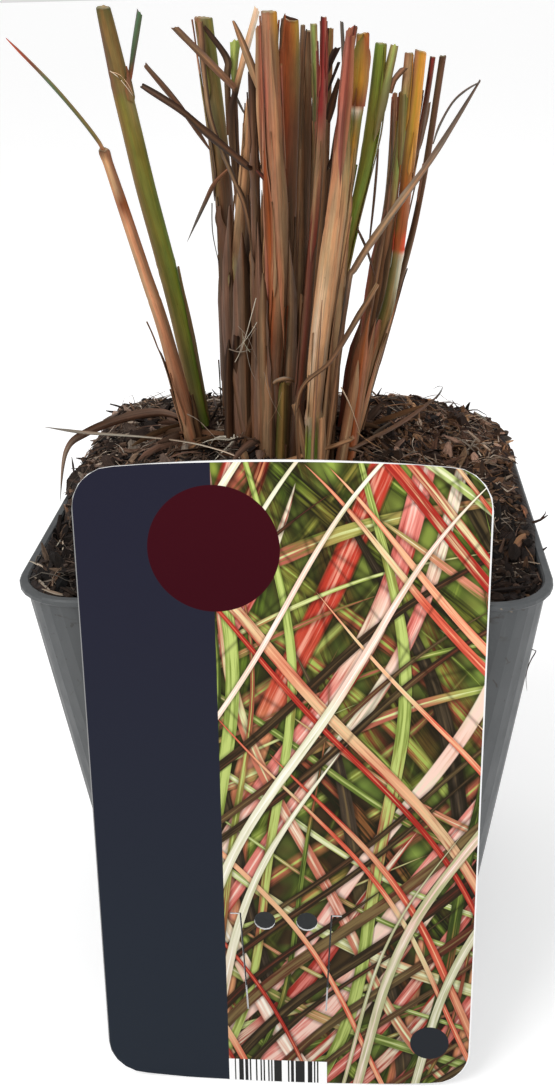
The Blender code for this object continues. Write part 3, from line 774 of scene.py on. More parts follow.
def add_sheath(piece, stem, rows, angle, width, tints, lift, seed, tip=0.55, shade=1.0):
    """A strip of dry sheath that clings to a stem from one row up to another. Its place round the
    stem is an angle, 0 on the left and 90 in front, and so is its width. It stands off towards
    its torn tip. A strip that starts above the stem's foot is torn at its lower end too."""
    low, high = sorted(stem.index_at_row(row) for row in rows)
    lean = math.sin(seed * 2.3)
    half = math.radians(width) / 2
    rings = []
    for k in range(low, high + 1):
        share = (k - low) / max(1, high - low)
        torn = max(0.05, min(1, (1 - share) / tip))
        if low > 3 and lift >= 0:
            torn *= min(1, 0.1 + share / 0.15)
        start = -half * min(1, torn ** (1.3 + lean) + 0.22 * waver(k * 0.3, seed, 0))
        end = half * min(1, torn ** (1.3 - lean) + 0.22 * waver(k * 0.27, seed, 8))
        off = (0.08 + lift * share ** 3) * MM
        turn = math.radians(angle) + 0.3 * waver(seed, k * 0.05, 1)
        outer, inner = [], []
        for u in (i / (STRIP_LANES - 1) for i in range(STRIP_LANES)):
            a = turn + start + (end - start) * u
            c, s = math.cos(a), math.sin(a)
            outward = stem.left[k] * c + stem.front[k] * s
            radius = stem.widths[k] / 2 * 1.04 + off + 0.25 * MM * share * (2 * u - 1) ** 2
            tint = tint_at(tints, stem.rows[k], 2 * u - 1) * shade
            grain = Vector((radius * c / MM + 11 * seed, radius * s / MM, stem.lengths[k] / MM))
            outer.append((stem.places[k] + outward * (radius + SHEATH_THICKNESS), tint, grain))
            inner.append((stem.places[k] + outward * radius, tint * 0.7, grain))
        rings.append(outer + inner[::-1])
    piece.loft(rings)


def add_blade(piece, stem, tints, curl, seed, tips, taper):
    """A leaf or strip: thin, with curled edges and a midrib. tips are its widths at the two ends,
    as shares: near 0 is a point, near 1 a cut end."""
    rings = []
    last = len(stem.places) - 1
    for k, middle in enumerate(stem.places):
        share = k / last
        narrow = min(1, tips[0] + (1 - tips[0]) * share / taper)
        narrow *= min(1, tips[1] + (1 - tips[1]) * (1 - share) / taper)
        half = stem.widths[k] / 2 * narrow * (1 + 0.16 * waver(k * 0.17, 3.1 * seed, 5))
        turn = 0.35 * waver(seed, k * 0.035, 2)
        flat = stem.left[k] * math.cos(turn) + stem.front[k] * math.sin(turn)
        face = stem.front[k] * math.cos(turn) - stem.left[k] * math.sin(turn)
        bend = curl + 0.25 * waver(seed, k * 0.05, 9)
        wobble = 0.15 * MM * noise.noise_vector(Vector((seed, k * 0.04, 3)))
        outer, inner = [], []
        for u in (2 * i / (STRIP_LANES - 1) - 1 for i in range(STRIP_LANES)):
            sink = bend * half * u * u - 0.12 * half * (1 - abs(u))
            thin = BLADE_THICKNESS * (1 - 0.6 * abs(u)) / 2
            place = middle + wobble - flat * half * u - face * sink
            if k == last:
                place += stem.along[k] * half * (0.5 * math.sin(seed) * u + 0.4 * math.cos(5 * u + seed))
            tint = tint_at(tints, stem.rows[k], u) * (1.12 if abs(u) < 0.1 else 1.0)
            grain = Vector((half * u / MM + 5 * seed, 0.3, stem.lengths[k] / MM))
            outer.append((place + face * thin, tint, grain))
            inner.append((place - face * thin, tint * 0.8, grain + Vector((0, 2, 0))))
        rings.append(outer + inner[::-1])
    piece.loft(rings)


def axes_on(places, k):
    """The direction of a path at its step k, and two directions across it."""
    way = heading(places, k)
    one = way.orthogonal().normalized()
    return way, one, way.cross(one)


def add_thread(piece, places, radius, tint, seed, sides=4):
    """A thin round thread through places, finer towards its end."""
    rings = []
    for k, place in enumerate(places):
        way, one, two = axes_on(places, k)
        size = radius * (1 - 0.75 * (k / (len(places) - 1)) ** 2)
        ring = []
        for a in (2 * math.pi * i / sides for i in range(sides)):
            out = one * math.cos(a) + two * math.sin(a)
            ring.append((place + out * size, tint, out + Vector((seed, 0, k * 1.5))))
        rings.append(ring)
    piece.loft(rings)


# ---- the clump

# Canes: name, how many foot sheaths and strands | pixels, from the foot up | depths | widths |
# colours | joints, each a row and a swelling | sheaths, each its two rows, angle, width and lift,
# and then its colours. Colours are a row with its left, middle and right one, and one left out is
# the left one. Two depths or widths are those of the ends.
CANES = """
cane_green_left 3 0 | 201 425, 184 337, 145 184, 123 95, 103 8 | 11 2 | 4 4.3 4.4 4.2 2.9 |
    8 moss bronze, 30 brown bronze bronze, 70 brown bronze bronze, 88 brown bronze khaki,
    98 bronze olive khaki, 150 bronze olive olive, 300 bronze olive leaf, 430 bronze khaki leaf |
    80 .05, 268 .05 | 420 268 165 60 .2, 268 bronze bronze khaki, 400 bronze khaki | 104 66 150 70 .5,
    66 rust rust clay, 80 clay clay brown, 104 bronze khaki olive
cane_tan_left 3 2 | 190 428, 168 343, 144 269, 120.5 199, 104 150 | 5 -3 | 4.4 3.2 2.7 2.4 1.9 |
    150 brown brown clay, 160 tan sand clay, 190 tan tan clay, 204 clay russet rust,
    222 tan apricot clay, 300 tan apricot wood, 380 apricot clay clay, 428 tan clay wood | 152 .25,
    300 .03 | 426 318 10 90 1.4, 318 brown tan wood, 426 clay clay brown
cane_olive 3 7 | 231 402, 228.5 300, 224 200, 215 110, 203 18 | 21 24 | 4.4 4 | 18 clay khaki olive,
    60 khaki khaki olive, 120 wood khaki bronze, 180 bronze brown brown, 210 brown brown mauve,
    290 wood cocoa brown, 400 brown brown cocoa | 255 .05 | 200 15 20 80 .3, 15 clay rose,
    80 tan brown brown, 200 mauve brown umber | 400 205 60 140 .5, 205 brown mauve, 400 mauve cocoa
cane_brown_left 3 7 | 240 425, 241 300, 240 262, 243 200, 251 100 | 10 8 | 5.3 4.8 3.9 3 1.9 |
    100 sand tan wood, 160 sand tan wood, 215 tan wood brown, 250 brown wood cocoa,
    264 khaki grey brown, 290 bronze brown cocoa, 425 umber cocoa | 262 .08 | 425 268 40 90 .6,
    268 khaki mauve brown, 420 cocoa brown umber | 420 300 130 100 .8, 300 brown cocoa,
    420 brown umber umber
cane_grey_left 3 7 | 262 440, 257 250, 252 72 | 2 1 | 2.8 1.7 | 72 umber, 121 mauve brown brown,
    215 mauve brown cocoa, 256 brown mauve wood, 340 cocoa mauve brown, 440 umber brown | 168 .3 |
    430 240 60 130 .6, 240 wood mauve brown, 430 brown cocoa
cane_pink 3 7 | 272 456, 280 250, 275 150, 269 12 | -6 -8 | 3.5 3.4 3.7 3.1 | 12 clay clay gold,
    40 clay clay bronze, 90 rose clay clay, 160 clay wood wood, 260 wood, 290 rust wood brown,
    340 russet brown brown, 400 brown mauve, 456 umber brown | 360 .04 | 345 14 20 60 .1,
    14 rose brick clay, 150 clay russet, 345 russet rust | 452 300 20 110 .6, 300 mauve brown,
    450 brown mauve umber
cane_rust 3 7 | 282 452, 288 300, 288 205, 289 80, 290 20 | -1 -1 | 5 3.1 3.6 4.7 3.6 |
    20 russet rust gold, 60 russet rust bronze, 130 brick russet brown, 205 brown cocoa, 290 brown wood,
    340 brown mauve, 452 brown brown umber | 205 .06, 383 .08 | 200 16 20 70 .1, 16 umber mauve rust,
    100 brick russet rust, 200 brown cocoa | 452 200 100 90 .3, 200 mauve wood brown,
    452 wood brown umber
cane_plum 3 7 | 290 430, 294 250, 303 26 | 6 5 | 2.3 1 | 26 slate wood mauve, 80 wood brown,
    228 mauve brown wood, 430 brown umber umber |
cane_umber 3 7 | 297 420, 303 220, 308 32 | 12 15 | 2.7 3 1.9 | 32 wood brown brown, 84 brown wood,
    130 brown, 300 mauve wood, 420 brown brown cocoa | | 130 40 50 60 .2, 40 wood sand brown,
    130 mauve sand brown
cane_lime 3 3 | 306 420, 316 180, 314 25 | 9 8 | 1.7 1.5 | 25 khaki lime, 60 khaki lime sand,
    120 khaki khaki tan, 180 wood khaki, 300 brown rose, 420 wood brown |
cane_dark_red 3 7 | 294 452, 309 290, 321 140, 324 18 | -10 -9 | 2.7 1.9 1.8 1.2 |
    18 umber crimson rose, 110 crimson crimson rose, 150 wood clay, 200 wood wood brown,
    225 brick brick brown, 341 brown brick cocoa, 452 umber cocoa cocoa | 213 .1 | 260 140 90 60 .2,
    140 sand wood wood, 230 wood brick brick
cane_tan_front 0 1 | 311 464, 318 365, 338 200, 343 130, 347 86 | -14 -12 | 2 3.9 4.1 3 2 |
    86 brick brick russet, 130 brick clay bronze, 170 clay tan khaki, 230 tan, 300 tan sand,
    360 sand beige wood, 408 tan sand brown, 424 beige khaki khaki, 440 lime leaf green | 419 .3 |
    416 88 60 110 .1, 88 brick russet rose, 140 clay clay tan, 260 tan sand, 340 tan beige sand,
    416 sand sand wood | 455 215 190 60 .7, 215 tan wood brown, 455 wood tan brown
cane_gold 3 7 | 330 430, 338 300, 346 205, 360 80, 363 34 | -5 -2 | 2.7 2.2 1.9 3 2.6 |
    34 bronze gold rust, 100 rose rust, 107 clay tan, 111 chalk pale khaki, 118 olive khaki,
    140 olive gold bronze, 190 khaki tan wood, 300 tan sand wood, 430 wood wood brown | 106 .12 |
    107 32 90 250 -.02, 32 olive bronze rust, 80 bronze gold clay, 107 brick russet rose |
    425 180 110 120 .3, 180 khaki tan wood, 300 tan sand wood, 425 brown tan
cane_green_right 3 7 | 331 415, 341.5 300, 348.5 245, 371.5 133, 381 44 | 7 9 | 1.6 1.7 2.2 3.4 2.5 |
    44 green leaf olive, 80 moss leaf olive, 120 olive olive leaf, 200 olive leaf, 240 leaf olive olive,
    275 wood khaki, 415 brown wood | 150 .04 | 270 60 175 55 .3, 60 olive olive khaki,
    150 olive bronze bronze, 270 wood brown
cane_maroon 3 7 | 352 410, 365.5 320, 388 205, 395 94 | 12 17 | 3.2 2.6 2 1.1 | 94 rose clay clay,
    150 dun ash tan, 200 dun tan wood, 250 wood, 320 rust rose clay, 370 rose clay wood,
    410 wood wood brown | 255 .08 | 330 110 120 100 .4, 110 clay sand, 330 mauve wood wood
cane_buff 3 3 | 358 400, 384 262, 399 155, 409 54 | 7 10 | 1.6 1.4 1.9 1.9 | 54 clay tan khaki,
    80 wood sand khaki, 110 khaki lime gold, 170 khaki lime, 210 wood tan brown, 300 brown wood,
    400 wood wood brown |
cane_orange 3 7 | 349 440, 368 368, 392 288, 408 165, 421 52 | 0 -2 | 4.2 3.6 2.5 2.7 2.4 |
    52 clay gold amber, 130 bronze gold amber, 200 russet rust clay, 228 bronze rust rust,
    238 rust rust coral, 250 brick rust coral, 254 moss khaki pale, 280 moss khaki chalk,
    310 moss bronze khaki, 345 brown bronze wood | 253 .14 | 438 318 60 110 .5, 318 rose clay wood,
    370 rose rust wood, 438 wood clay brown | 438 290 150 70 .4, 290 wood tan brown, 400 clay tan wood,
    438 wood wood brown
cane_wine 3 7 | 366 398, 397 250, 421.5 128, 432.5 58 | 9 9 | 1.3 1.2 | 58 umber crimson brick,
    110 brick brown mauve, 220 wood clay mauve, 300 mauve brown brown, 398 wood mauve brown |
cane_brown_right 1 2 | 362 412, 395 296, 419.5 200, 443 57 | 18 21 | 2.2 1.8 1.4 1.5 |
    57 cocoa brown mauve, 150 brown brown mauve, 215 cocoa brown brown, 300 cocoa brown dun,
    412 brown cocoa umber |
"""

# Leaves and strips: name and whether it grows in the soil | pixels | depths | widths | colours |
# curl, widths at the two tips as shares, and length of the taper.
LEAVES = """
shoot_left 0 | 126 87, 129 80, 134 45, 139 12 | 3.4 4.6 6.1 6 | .9 1.4 | 12 slate shoot shoot,
    60 shoot shoot slate, 80 rust | 1 .8 .95 .15
leaf_tip_left 0 | 104 153, 99 143, 78 116, 45 78, 6 38 | -2.8 -3.2 -4.5 -7 -10 | .8 .9 1 .8 .5 |
    38 coral coral rose, 66 clay brick, 80 slate shoot khaki, 138 slate moss khaki, 150 clay clay tan |
    .8 1 .3 .15
leaf_beige 1 | 249 400, 238 215, 231 125, 236 88, 257 9 | 17 13 | 1.4 1.1 1.5 1.4 1.6 |
    9 beige beige pale, 40 sand beige pale, 76 tan sand, 92 umber, 205 wood brown,
    400 brown brown cocoa | .3 .8 .85 .15
leaf_short_green 1 | 254 398, 240 215, 234 90, 235 41 | 20 18 | 1.2 1.1 1.3 2.9 | 41 lime lime leaf,
    70 leaf lime khaki, 92 brown umber, 398 cocoa umber umber | .9 .8 .85 .15
leaf_khaki 1 | 312 400, 323 230, 331 28 | 17 18 | 1.1 1.4 | 28 khaki bronze wood, 110 brown,
    400 brown wood | .3 .8 .85 .15
leaf_grey_thin 1 | 312 410, 329 190, 343 95, 342 22 | 11 12 | .9 .9 | 22 slate, 80 brown slate,
    410 brown brown wood | .3 .8 .85 .15
leaf_rose 1 | 319 440, 331 250, 343 100, 350 28 | -5 -1.5 | 1.2 1.3 1.9 1.7 | 28 rose clay,
    90 rose clay russet, 150 clay, 440 wood wood brown | .5 .8 .85 .15
leaf_red_thin 1 | 315 445, 330 200, 346 92, 356 26 | -9 -7 | .9 .9 | 26 umber brick brown,
    90 brick crimson rose, 160 umber brown wood, 445 umber brown brown | .4 .8 .85 .15
leaf_green_right 0 | 374 142, 381 110, 388 76, 395 45 | 6.4 6.8 7.6 9 | .8 2 2.2 1.7 | 45 khaki lime,
    104 olive khaki khaki | .5 .2 .9 .15
leaf_long_right 1 | 330 430, 346 300, 356 266, 393 212, 434 156, 480 80 | -9 -7.5 -7 -6.5 -6 -10 |
    1.1 1.2 1.5 1.6 1.4 .9 | 80 slate mauve grey, 150 mauve dun, 190 dun tan, 250 wood tan dun,
    300 slate mauve brown, 430 wood tan brown | .5 .8 .4 .15
strip_front 1 | 300 446, 298 400, 331 361, 361 312, 378 284 | -17 -18 -19 -12 -6 | 1.2 .8 1 1.3 1.3 |
    284 sand wood tan, 300 brown wood, 340 cocoa brown mauve, 396 brown wood, 446 brown brown wood |
    .8 .8 .7 .15
strip_left_low 0 | 249 168, 205 131, 180 110, 142 86 | 3 14 13 8 | 1.5 1.8 1.5 1.4 | 86 umber mauve,
    120 umber brown, 168 umber cocoa | .9 .8 .85 .15
strip_left_top 0 | 235 89, 204 57, 175 28 | 10.5 17.5 15 | 1.5 1.6 1.5 | 28 mauve wood,
    60 brown wood mauve, 89 mauve brown brown | .6 .8 .85 .15
strip_folded 0 | 229 135, 227 78, 226 58, 204 27 | 19.5 16 16.8 21 | .9 1.5 1.7 .9 | 27 umber cocoa,
    55 umber cocoa, 75 brown wood, 135 brown umber umber | .4 .8 .85 .15
strip_long_left 0 | 256 285, 247 215, 234 180, 221 148, 208 107, 199.5 22 | 5 5 8 16.5 18.8 19.4 |
    .9 1.3 1.1 1.1 1.1 1.3 | 22 clay clay brown, 100 wood tan umber, 160 cocoa wood umber,
    285 umber brown cocoa | .6 .8 .85 .15
leaf_droop_left 0 | 231 167, 215 183, 205 203, 187 243 | 15.5 16 12 6 | .9 1.1 .9 .4 | 167 clay brown,
    195 mauve brown, 215 slate | .5 .5 .06 .3
leaf_on_soil 0 | 184 419, 160 413, 125 418, 86 433, 66 452, 60 502 | 17 24 24 17 11 4 |
    2.2 2.5 2.5 2 1.3 .6 | 413 cocoa mauve mauve, 430 mauve mauve cocoa, 455 mauve dun, 502 slate |
    .25 .5 .06 .25
straw_left 0 | 240 458, 222 451, 190 443, 150 438, 85 433, 44 427 | -12 -8 -3 5 13 20 |
    .45 .4 .35 .4 .95 .5 | 427 slate grey, 434 dun ash, 442 ash pale, 455 ash pale | .5 .5 .06 .15
straw_right 0 | 350 451, 400 425, 434 400, 442 388 | -8 12 38 40 | 1.1 1.4 1.1 .5 | 388 slate,
    402 brown mauve, 451 brown mauve | .6 .5 .06 .15
"""

FOOT_COLOURS = "brown cocoa mauve wood brown umber".split()


def make_canes():
    """The canes with their sheaths, each in place of the solid of its name. Short torn sheaths
    wrap the foot, and narrow strands of the cane's own colour, lighter or darker, cling to it."""
    for head, pixels, depths, widths, tints, joints, *sheaths in entries(CANES):
        name, foot_sheaths, strands = head[0]
        material, slot = SURFACES[name]
        stem = Stem(pixels, depths[0], widths[0])
        tints = full_stations(tints)
        piece = Piece()
        seed = len(name) + pixels[0][0] * 0.37
        add_cane(piece, stem, tints, joints, seed)
        for k, ((low, high, angle, width, lift), *colours) in enumerate(sheaths):
            add_sheath(piece, stem, (low, high), angle, width, full_stations(colours), lift, seed + k)
        rng = random.Random(int(seed * 10))
        foot, top = stem.rows[0], stem.rows[-1]
        for k in range(int(foot_sheaths)):
            colours = [(0, *(rng.choice(FOOT_COLOURS) for lane in range(3)))]
            reach = rng.uniform(30, 85)
            angle = rng.uniform(20, 160) + 180 * (k == 2)
            width = rng.uniform(70, 120)
            lift = min(rng.uniform(0.4, 1.2), 0.3 * widths[0][0])
            add_sheath(piece, stem, (foot, foot - reach), angle, width, colours, lift, seed + 5 + k)
        for k in range(int(strands)):
            low = rng.uniform(top + 50, foot)
            high = max(top + 4, low - rng.uniform(25, 130))
            angle, width, lift = rng.uniform(0, 180), rng.uniform(12, 48), rng.uniform(0.02, 0.35)
            shade = rng.choice((0.75, 0.85, 0.93, 1.08, 1.2))
            add_sheath(piece, stem, (low, high), angle, width, tints, lift, seed + 11 + k, 0.8, shade)
        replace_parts(piece.finish(name + "_stem", material, slot), name)


def make_leaves():
    """The leaves and strips that stand for the solids of their names."""
    for head, pixels, depths, widths, tints, ends in entries(LEAVES):
        (name, planted), (curl, *tips, taper) = head[0], ends[0]
        material, slot = SURFACES[name]
        piece = Piece()
        stem = Stem(pixels, depths[0], widths[0], bool(planted))
        seed = len(name) + pixels[0][0] * 0.31
        add_blade(piece, stem, full_stations(tints), curl, seed, tips, taper)
        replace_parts(piece.finish(name + "_blade", material, slot), name)


# ---- loose strips and threads

# Strips that hang among the canes: pixels | depths | widths | left, middle and right colour |
# curl and the two tips.
LOOSE_STRIPS = """
210 150, 180 107, 145 65 | 18 16 | .8 1.3 1.2 | mauve brown | .8 .4 .9
257 88, 254 74, 243 45, 233 21 | -.6 -.6 1 3 | 1.6 1.7 1.6 1 | wood tan brown | .5 .3 .5
245 115, 240 105, 234 92 | 16 17 | .6 .6 | slate | .4 .2 .8
325 78, 330 62, 336 48 | 6 6 | .9 1.5 | umber soot | .5 .3 1
327 93, 333 77, 339 62 | 5 5 | .5 .7 | umber soot | .5 .3 .9
328 123, 332 106, 339 79 | 7 7 7 | 1.2 1.7 .7 | umber cocoa | .6 .8 .8
326 172, 331 160, 336 148 | 11 11.4 | .6 .7 | umber | .4 .3 .6
390 93, 394 80, 404 68 | 8 8 | 1.3 1.4 | mauve clay brown | .6 .8 .9
391 205, 397 145, 401 93 | 11 12 | .9 1.2 | russet clay | .6 .6 .9
400 174, 402 140, 404 95 | 5 5 | 1.6 1.8 | bronze khaki olive | .4 .1 .9
418 152, 424 125, 428 103 | 11 11 | 1.2 1.3 | brown mauve | .6 .4 .8
417 202, 421 182, 424 163 | 19.1 19.6 | .7 .9 | clay mauve | .6 .4 .8
433 144, 439 126, 452 103, 466 90, 480 82 | -8 -10 | .5 .45 | mauve slate slate | .4 .4 .6
369 247, 374 200, 378 148 | 14 14 | .5 .6 | slate mauve | .4 .4 .6
375 276, 367 250, 357 228 | -4 -4 | .5 .6 | umber mauve | .4 .4 .6
303 440, 300 424, 294 404 | -15 -16 | 1.6 1.8 | wood tan brown | .8 .8 .8
272 385, 277 381, 284 379, 291 380, 298 383 | -7 -9.6 -10.6 -9.6 -6 | .8 .9 .9 .9 .8 | dun tan wood |
    .3 .8 .8
325 449, 338 445, 351 437 | -14 -16 | 1 1.3 | wood tan clay | .6 .4 .8
262 178, 260 120, 259 60, 258 26 | 0 -2 | .5 1.3 1.7 1.4 | tan clay rose | .5 .1 .8
284 350, 281 290, 277 200, 273 120, 269 30 | -8.2 -8.6 -9.4 -9.8 -10 | .5 1.5 2.2 2 .8 | clay clay tan |
    .6 .1 .2
279 388, 275 330, 272 270, 268 200, 264 110 | -8 -7.6 -7.4 -7.6 -8 | .5 1.8 2.2 1.7 .9 |
    russet rust clay | .7 .1 .1
340 190, 343 140, 347 92, 351 36 | -14.8 -14.6 -14 -12 | .5 2 2.3 1.7 | rose brick clay | .5 .1 .85
352 434, 358 385, 364 345, 371 308 | -6 -6 -5.5 -4 | 2.6 3.4 2.8 .8 | clay rust | .9 .9 .1
345 438, 352 400, 358 360 | -9 -7 | 2.6 2 | clay tan wood | .9 .9 .1
252 445, 250 300, 248 195 | 5 5 | 3.6 3.2 2 | cocoa umber brown | .6 .8 .2
268 450, 266 310, 262 190 | 0 1 | 3.4 3 1.2 | wood brown mauve | .6 .8 .1
297 430, 300 250, 300 70 | 9 10 | 3.2 3 2 | brown wood | .6 .8 .4
301 430, 309 250, 317 60 | 14 15 | 3.2 3 2 | brown wood | .6 .8 .4
299 455, 303 345, 309 240 | 2 3 | 2.6 2.2 1.2 | brown rose cocoa | .6 .8 .2
281 440, 284 330, 286 215 | -5 -4 | 2.6 2.2 1.4 | mauve brown brown | .6 .8 .2
322 455, 331 330, 345 215 | -9 -8 | 1.6 1.3 .8 | wood tan brown | .6 .8 .3
313 455, 316 380, 322 300 | -17 -17 | .8 .7 | wood tan mauve | .6 .8 .2
245 430, 238 390, 233 345 | -1 3 | 2.4 1.6 | brown mauve cocoa | .6 .8 .1
269 330, 266 200, 263 90 | -3 -4 | 1.2 1.6 1.2 | clay rose brick | .6 .1 .4
305 400, 317 240, 326 120 | -2 -2 | 2 2.4 1.6 | brown wood | .6 .8 .4
354 425, 365 330, 374 262, 386 210 | 10 10 | 2.2 2 2 1.4 | rose wood brown | .7 .8 .4
321 455, 322 435, 322 418 | -17.5 -17 | 1.6 1.7 | wood tan | .7 .9 .7
362 405, 378 330, 390 262, 398 210 | 4 6 | 2.2 2.2 2 1.4 | brown wood | .7 .8 .4
281 50, 282 30, 284 18, 285 13 | -4 -4 | .5 1.2 1 .5 | umber brown rust | .6 .2 .3
284 16, 290 19, 298 20 | -3.6 -3.2 | .5 .6 .4 | umber umber brown | .4 .8 .3
236 428, 233 320, 230 205 | 3 10 | 6.4 5.6 2.6 | mauve cocoa brown | 1 .9 .2
247 436, 245 340, 242 232 | -1 4 | 6 5.6 2 | mauve brown cocoa | 1 .9 .1
262 440, 261 330, 258 222 | -4 -1 | 4.6 4.2 1.4 | brown mauve cocoa | 1 .9 .1
282 444, 283 415, 284 384 | -9 -8.4 | 3.8 3.6 | moss bronze cocoa | 1 .9 .9
286 452, 290 330, 289 240 | -7.5 -6 | 3.2 3.2 1.4 | mauve wood | .9 .8 .1
271 448, 272 390, 268 320 | -9 -7 | 3.4 2.8 1 | wood brown mauve | .9 .9 .1
352 438, 362 380, 376 318 | -5 -3 | 3.6 3 1.4 | brown clay wood | .9 .9 .1
345 428, 352 370, 362 318 | 5 7 | 4 3.2 1.4 | brick brown clay | .9 .9 .1
247 166, 256 172, 261 172, 266 161 | -2 -5 | 1 1.6 1.8 .5 | umber cocoa | .6 .5 .1
256 170, 261 175, 266 182 | -4 -5 | 1.2 .6 | umber brick | .6 .6 .1
"""

# Strips that lie on the mix: pixels | width | colours.
GROUND_STRIPS = """
60 533, 63 545, 61 556 | .5 | ash pale
67 531, 60 541, 56 546 | .35 | ash pale
29 561, 36 564, 45 568 | .6 | ash pale
34 577, 44 586, 52 593 | .8 | ash dun mauve
42 589, 56 594, 70 596 | .8 | dun ash
50 587, 57 578, 63 570 | .8 | mauve dun
64 505, 68 520, 66 530 | 1.8 | brown umber
475 412, 482 419, 488 427 | 1.5 | ash pale dun
384 411, 402 412, 427 410 | .35 | wood clay
350 458, 380 455, 410 458, 436 459 | .3 | ash ash dun
465 452, 476 450, 487 455 | .5 | ash pale clay
470 446, 478 452, 482 458 | .35 | pale pale clay
521 505, 524 511, 526 518 | 1.4 | mauve clay brown
512 556, 520 545, 529 534 | 2.6 | wood mauve brown
505 562, 512 570, 522 578 | .6 | ash dun umber
512 564, 526 562, 540 564 | .25 | ash pale
150 406, 168 411, 186 419 | 1.3 | mauve ash dun
214 420, 230 415, 251 406 | 1.4 | brown wood
216 430, 228 428, 242 432 | 1.2 | mauve wood brown
252 430, 262 440, 268 450 | 1.3 | brown dun
250 446, 266 443, 284 445 | 1.3 | brown dun mauve
404 428, 420 420, 436 410 | 1.2 | mauve ash
380 446, 396 438, 418 436 | 1 | dun ash mauve
440 430, 452 436, 466 434 | .9 | dun ash
110 447, 128 452, 150 449 | 1.4 | mauve dun brown
140 432, 160 436, 178 434 | 1.2 | umber mauve dun
"""

# Threads in front of the canes: pixels | depths | radius | colour.
THREADS = """
110 71, 117 76, 125 85, 133 96 | 1.2 | .1 | pale
112 72, 120 75, 128 84, 133 94 | .9 | .07 | beige
341 387, 350 405, 360 433 | -8.9 -8.8 -5.4 | .16 | beige
357 432, 368 441, 382 449 | -5.3 -2.1 3.4 | .13 | sand
212 203, 213 235, 222 276 | 20 | .17 | slate
436 399, 441 392, 443 387, 439 386, 433 389 | 40 | .14 | slate
256 298, 248 328, 241 352 | -4 | .13 | pale
257 322, 247 338, 236 350 | -4 | .08 | pale
262 324, 252 334, 246 352 | -4.5 | .07 | ash
238 326, 248 338, 257 360 | -4 | .07 | ash
229 349, 240 352, 252 349 | .1 .4 -2 | .14 | ash
235 362, 240 352, 244 336 | 1.1 .3 -3.6 | .12 | pale
246 348, 251 370, 262 392 | -5 | .07 | ash
262 345, 259 332, 252 326 | -4.5 | .06 | pale
250 352, 244 343, 242 331 | -4 | .08 | chalk
264 372, 270 396, 282 420 | -9 | .08 | ash
282 392, 276 410, 268 424 | -10 | .07 | tan
93 458, 84 459, 76 458 | 13 | .45 | soot
92 467, 84 466, 80 462 | 11 | .3 | soot
75 497, 68 492, 62 494 | -1 | .12 | cocoa
77 492, 71 487, 66 482 | 0 | .1 | cocoa
531 649, 536 651, 532 658, 528 667, 526 677, 527 691 | -42 | .14 | umber
531 523, 540 520, 548 515 | -17 | .35 | umber
540 520, 545 514, 546 511 | -17 | .22 | umber
537 556, 543 550, 547 547 | -29 | .45 | soot
266 215, 263 260, 266 300 | -3 | .12 | sand
309 375, 304 395, 296 412 | -18 | .15 | umber
187 414, 198 420, 212 434, 224 447 | -6 | .1 | ash
"""

FOOT_PAIRS = table("umber cocoa, mauve cocoa, brown mauve, brown wood, rust wood, mauve wood")
LITTER_COLOURS = "brown mauve dun cocoa wood wood brown umber mauve".split()


def depth_on_top(pixel):
    """The depth of a strip that a pixel shows lying on the soil or the pot."""
    hits = [first_hit(tree, pixel)[0] for tree in (GROUND, POT_WALL)]
    return min((hit.y for hit in hits if hit), default=INNER_HALF) / MM - 0.7


def one_station(colours):
    """The same colours all along."""
    return full_stations([(0, *colours)])


def finish_dry(piece, name):
    """Makes a piece of the dry leaves' material."""
    piece.finish(name, papery, "dry_leaf")


def make_loose_strips():
    """The strips and threads of the three tables."""
    strips, threads = Piece(), Piece()
    for k, (pixels, depths, widths, colours, ends) in enumerate(entries(LOOSE_STRIPS)):
        stem = Stem(pixels, depths[0], widths[0], planted=pixels[0][1] > PLANTED_BELOW)
        curl, *tips = ends[0]
        add_blade(strips, stem, one_station(colours[0]), curl, 40 + 1.7 * k, tips, 0.25)
    for k, (pixels, widths, colours) in enumerate(entries(GROUND_STRIPS)):
        stem = Stem(pixels, [depth_on_top(pixel) for pixel in pixels], widths[0], planted=False)
        add_blade(strips, stem, one_station(colours[0]), 0.6, 130 + 1.3 * k, (0.2, 0.1), 0.4)
    for k, (pixels, depths, ((radius,),), ((colour,),)) in enumerate(entries(THREADS)):
        stem = Stem(pixels, depths[0], (1,), planted=False)
        add_thread(threads, stem.places, radius * MM, COLOUR[colour], 3.1 * k)
    finish_dry(strips, "loose_strips")
    finish_dry(threads, "pale_threads")


def make_foot_sheaths():
    """Broad torn sheaths that stand close together round the left half of the clump's foot."""
    rng = random.Random(8)
    piece = Piece()
    for k in range(28):
        width = rng.uniform(2.4, 5.0)
        x = rng.uniform(220 + 2.1 * width, 300)
        left = x < 255
        depth = rng.uniform(-4, 13) if left else rng.uniform(-7, 5)
        reach = rng.uniform(60, 170)
        lean = max(-0.01, rng.gauss(0.01, 0.03))
        pixels = [(x, FOOT_ROW),
                  (x + lean * reach * 0.5 + rng.gauss(0, 1), FOOT_ROW - reach * 0.5),
                  (x + lean * reach, FOOT_ROW - reach)]
        stem = Stem(pixels, (depth, depth + rng.uniform(-1, 2), depth), (width, width * 0.8, width * 0.5))
        colours = rng.choice(FOOT_PAIRS[:3] if left else FOOT_PAIRS[2:])
        torn = rng.choice((0.15, 0.5, 0.7))
        add_blade(piece, stem, one_station(colours), rng.uniform(0.5, 1.0), 200 + k, (0.9, torn), 0.2)
    finish_dry(piece, "foot_sheaths")


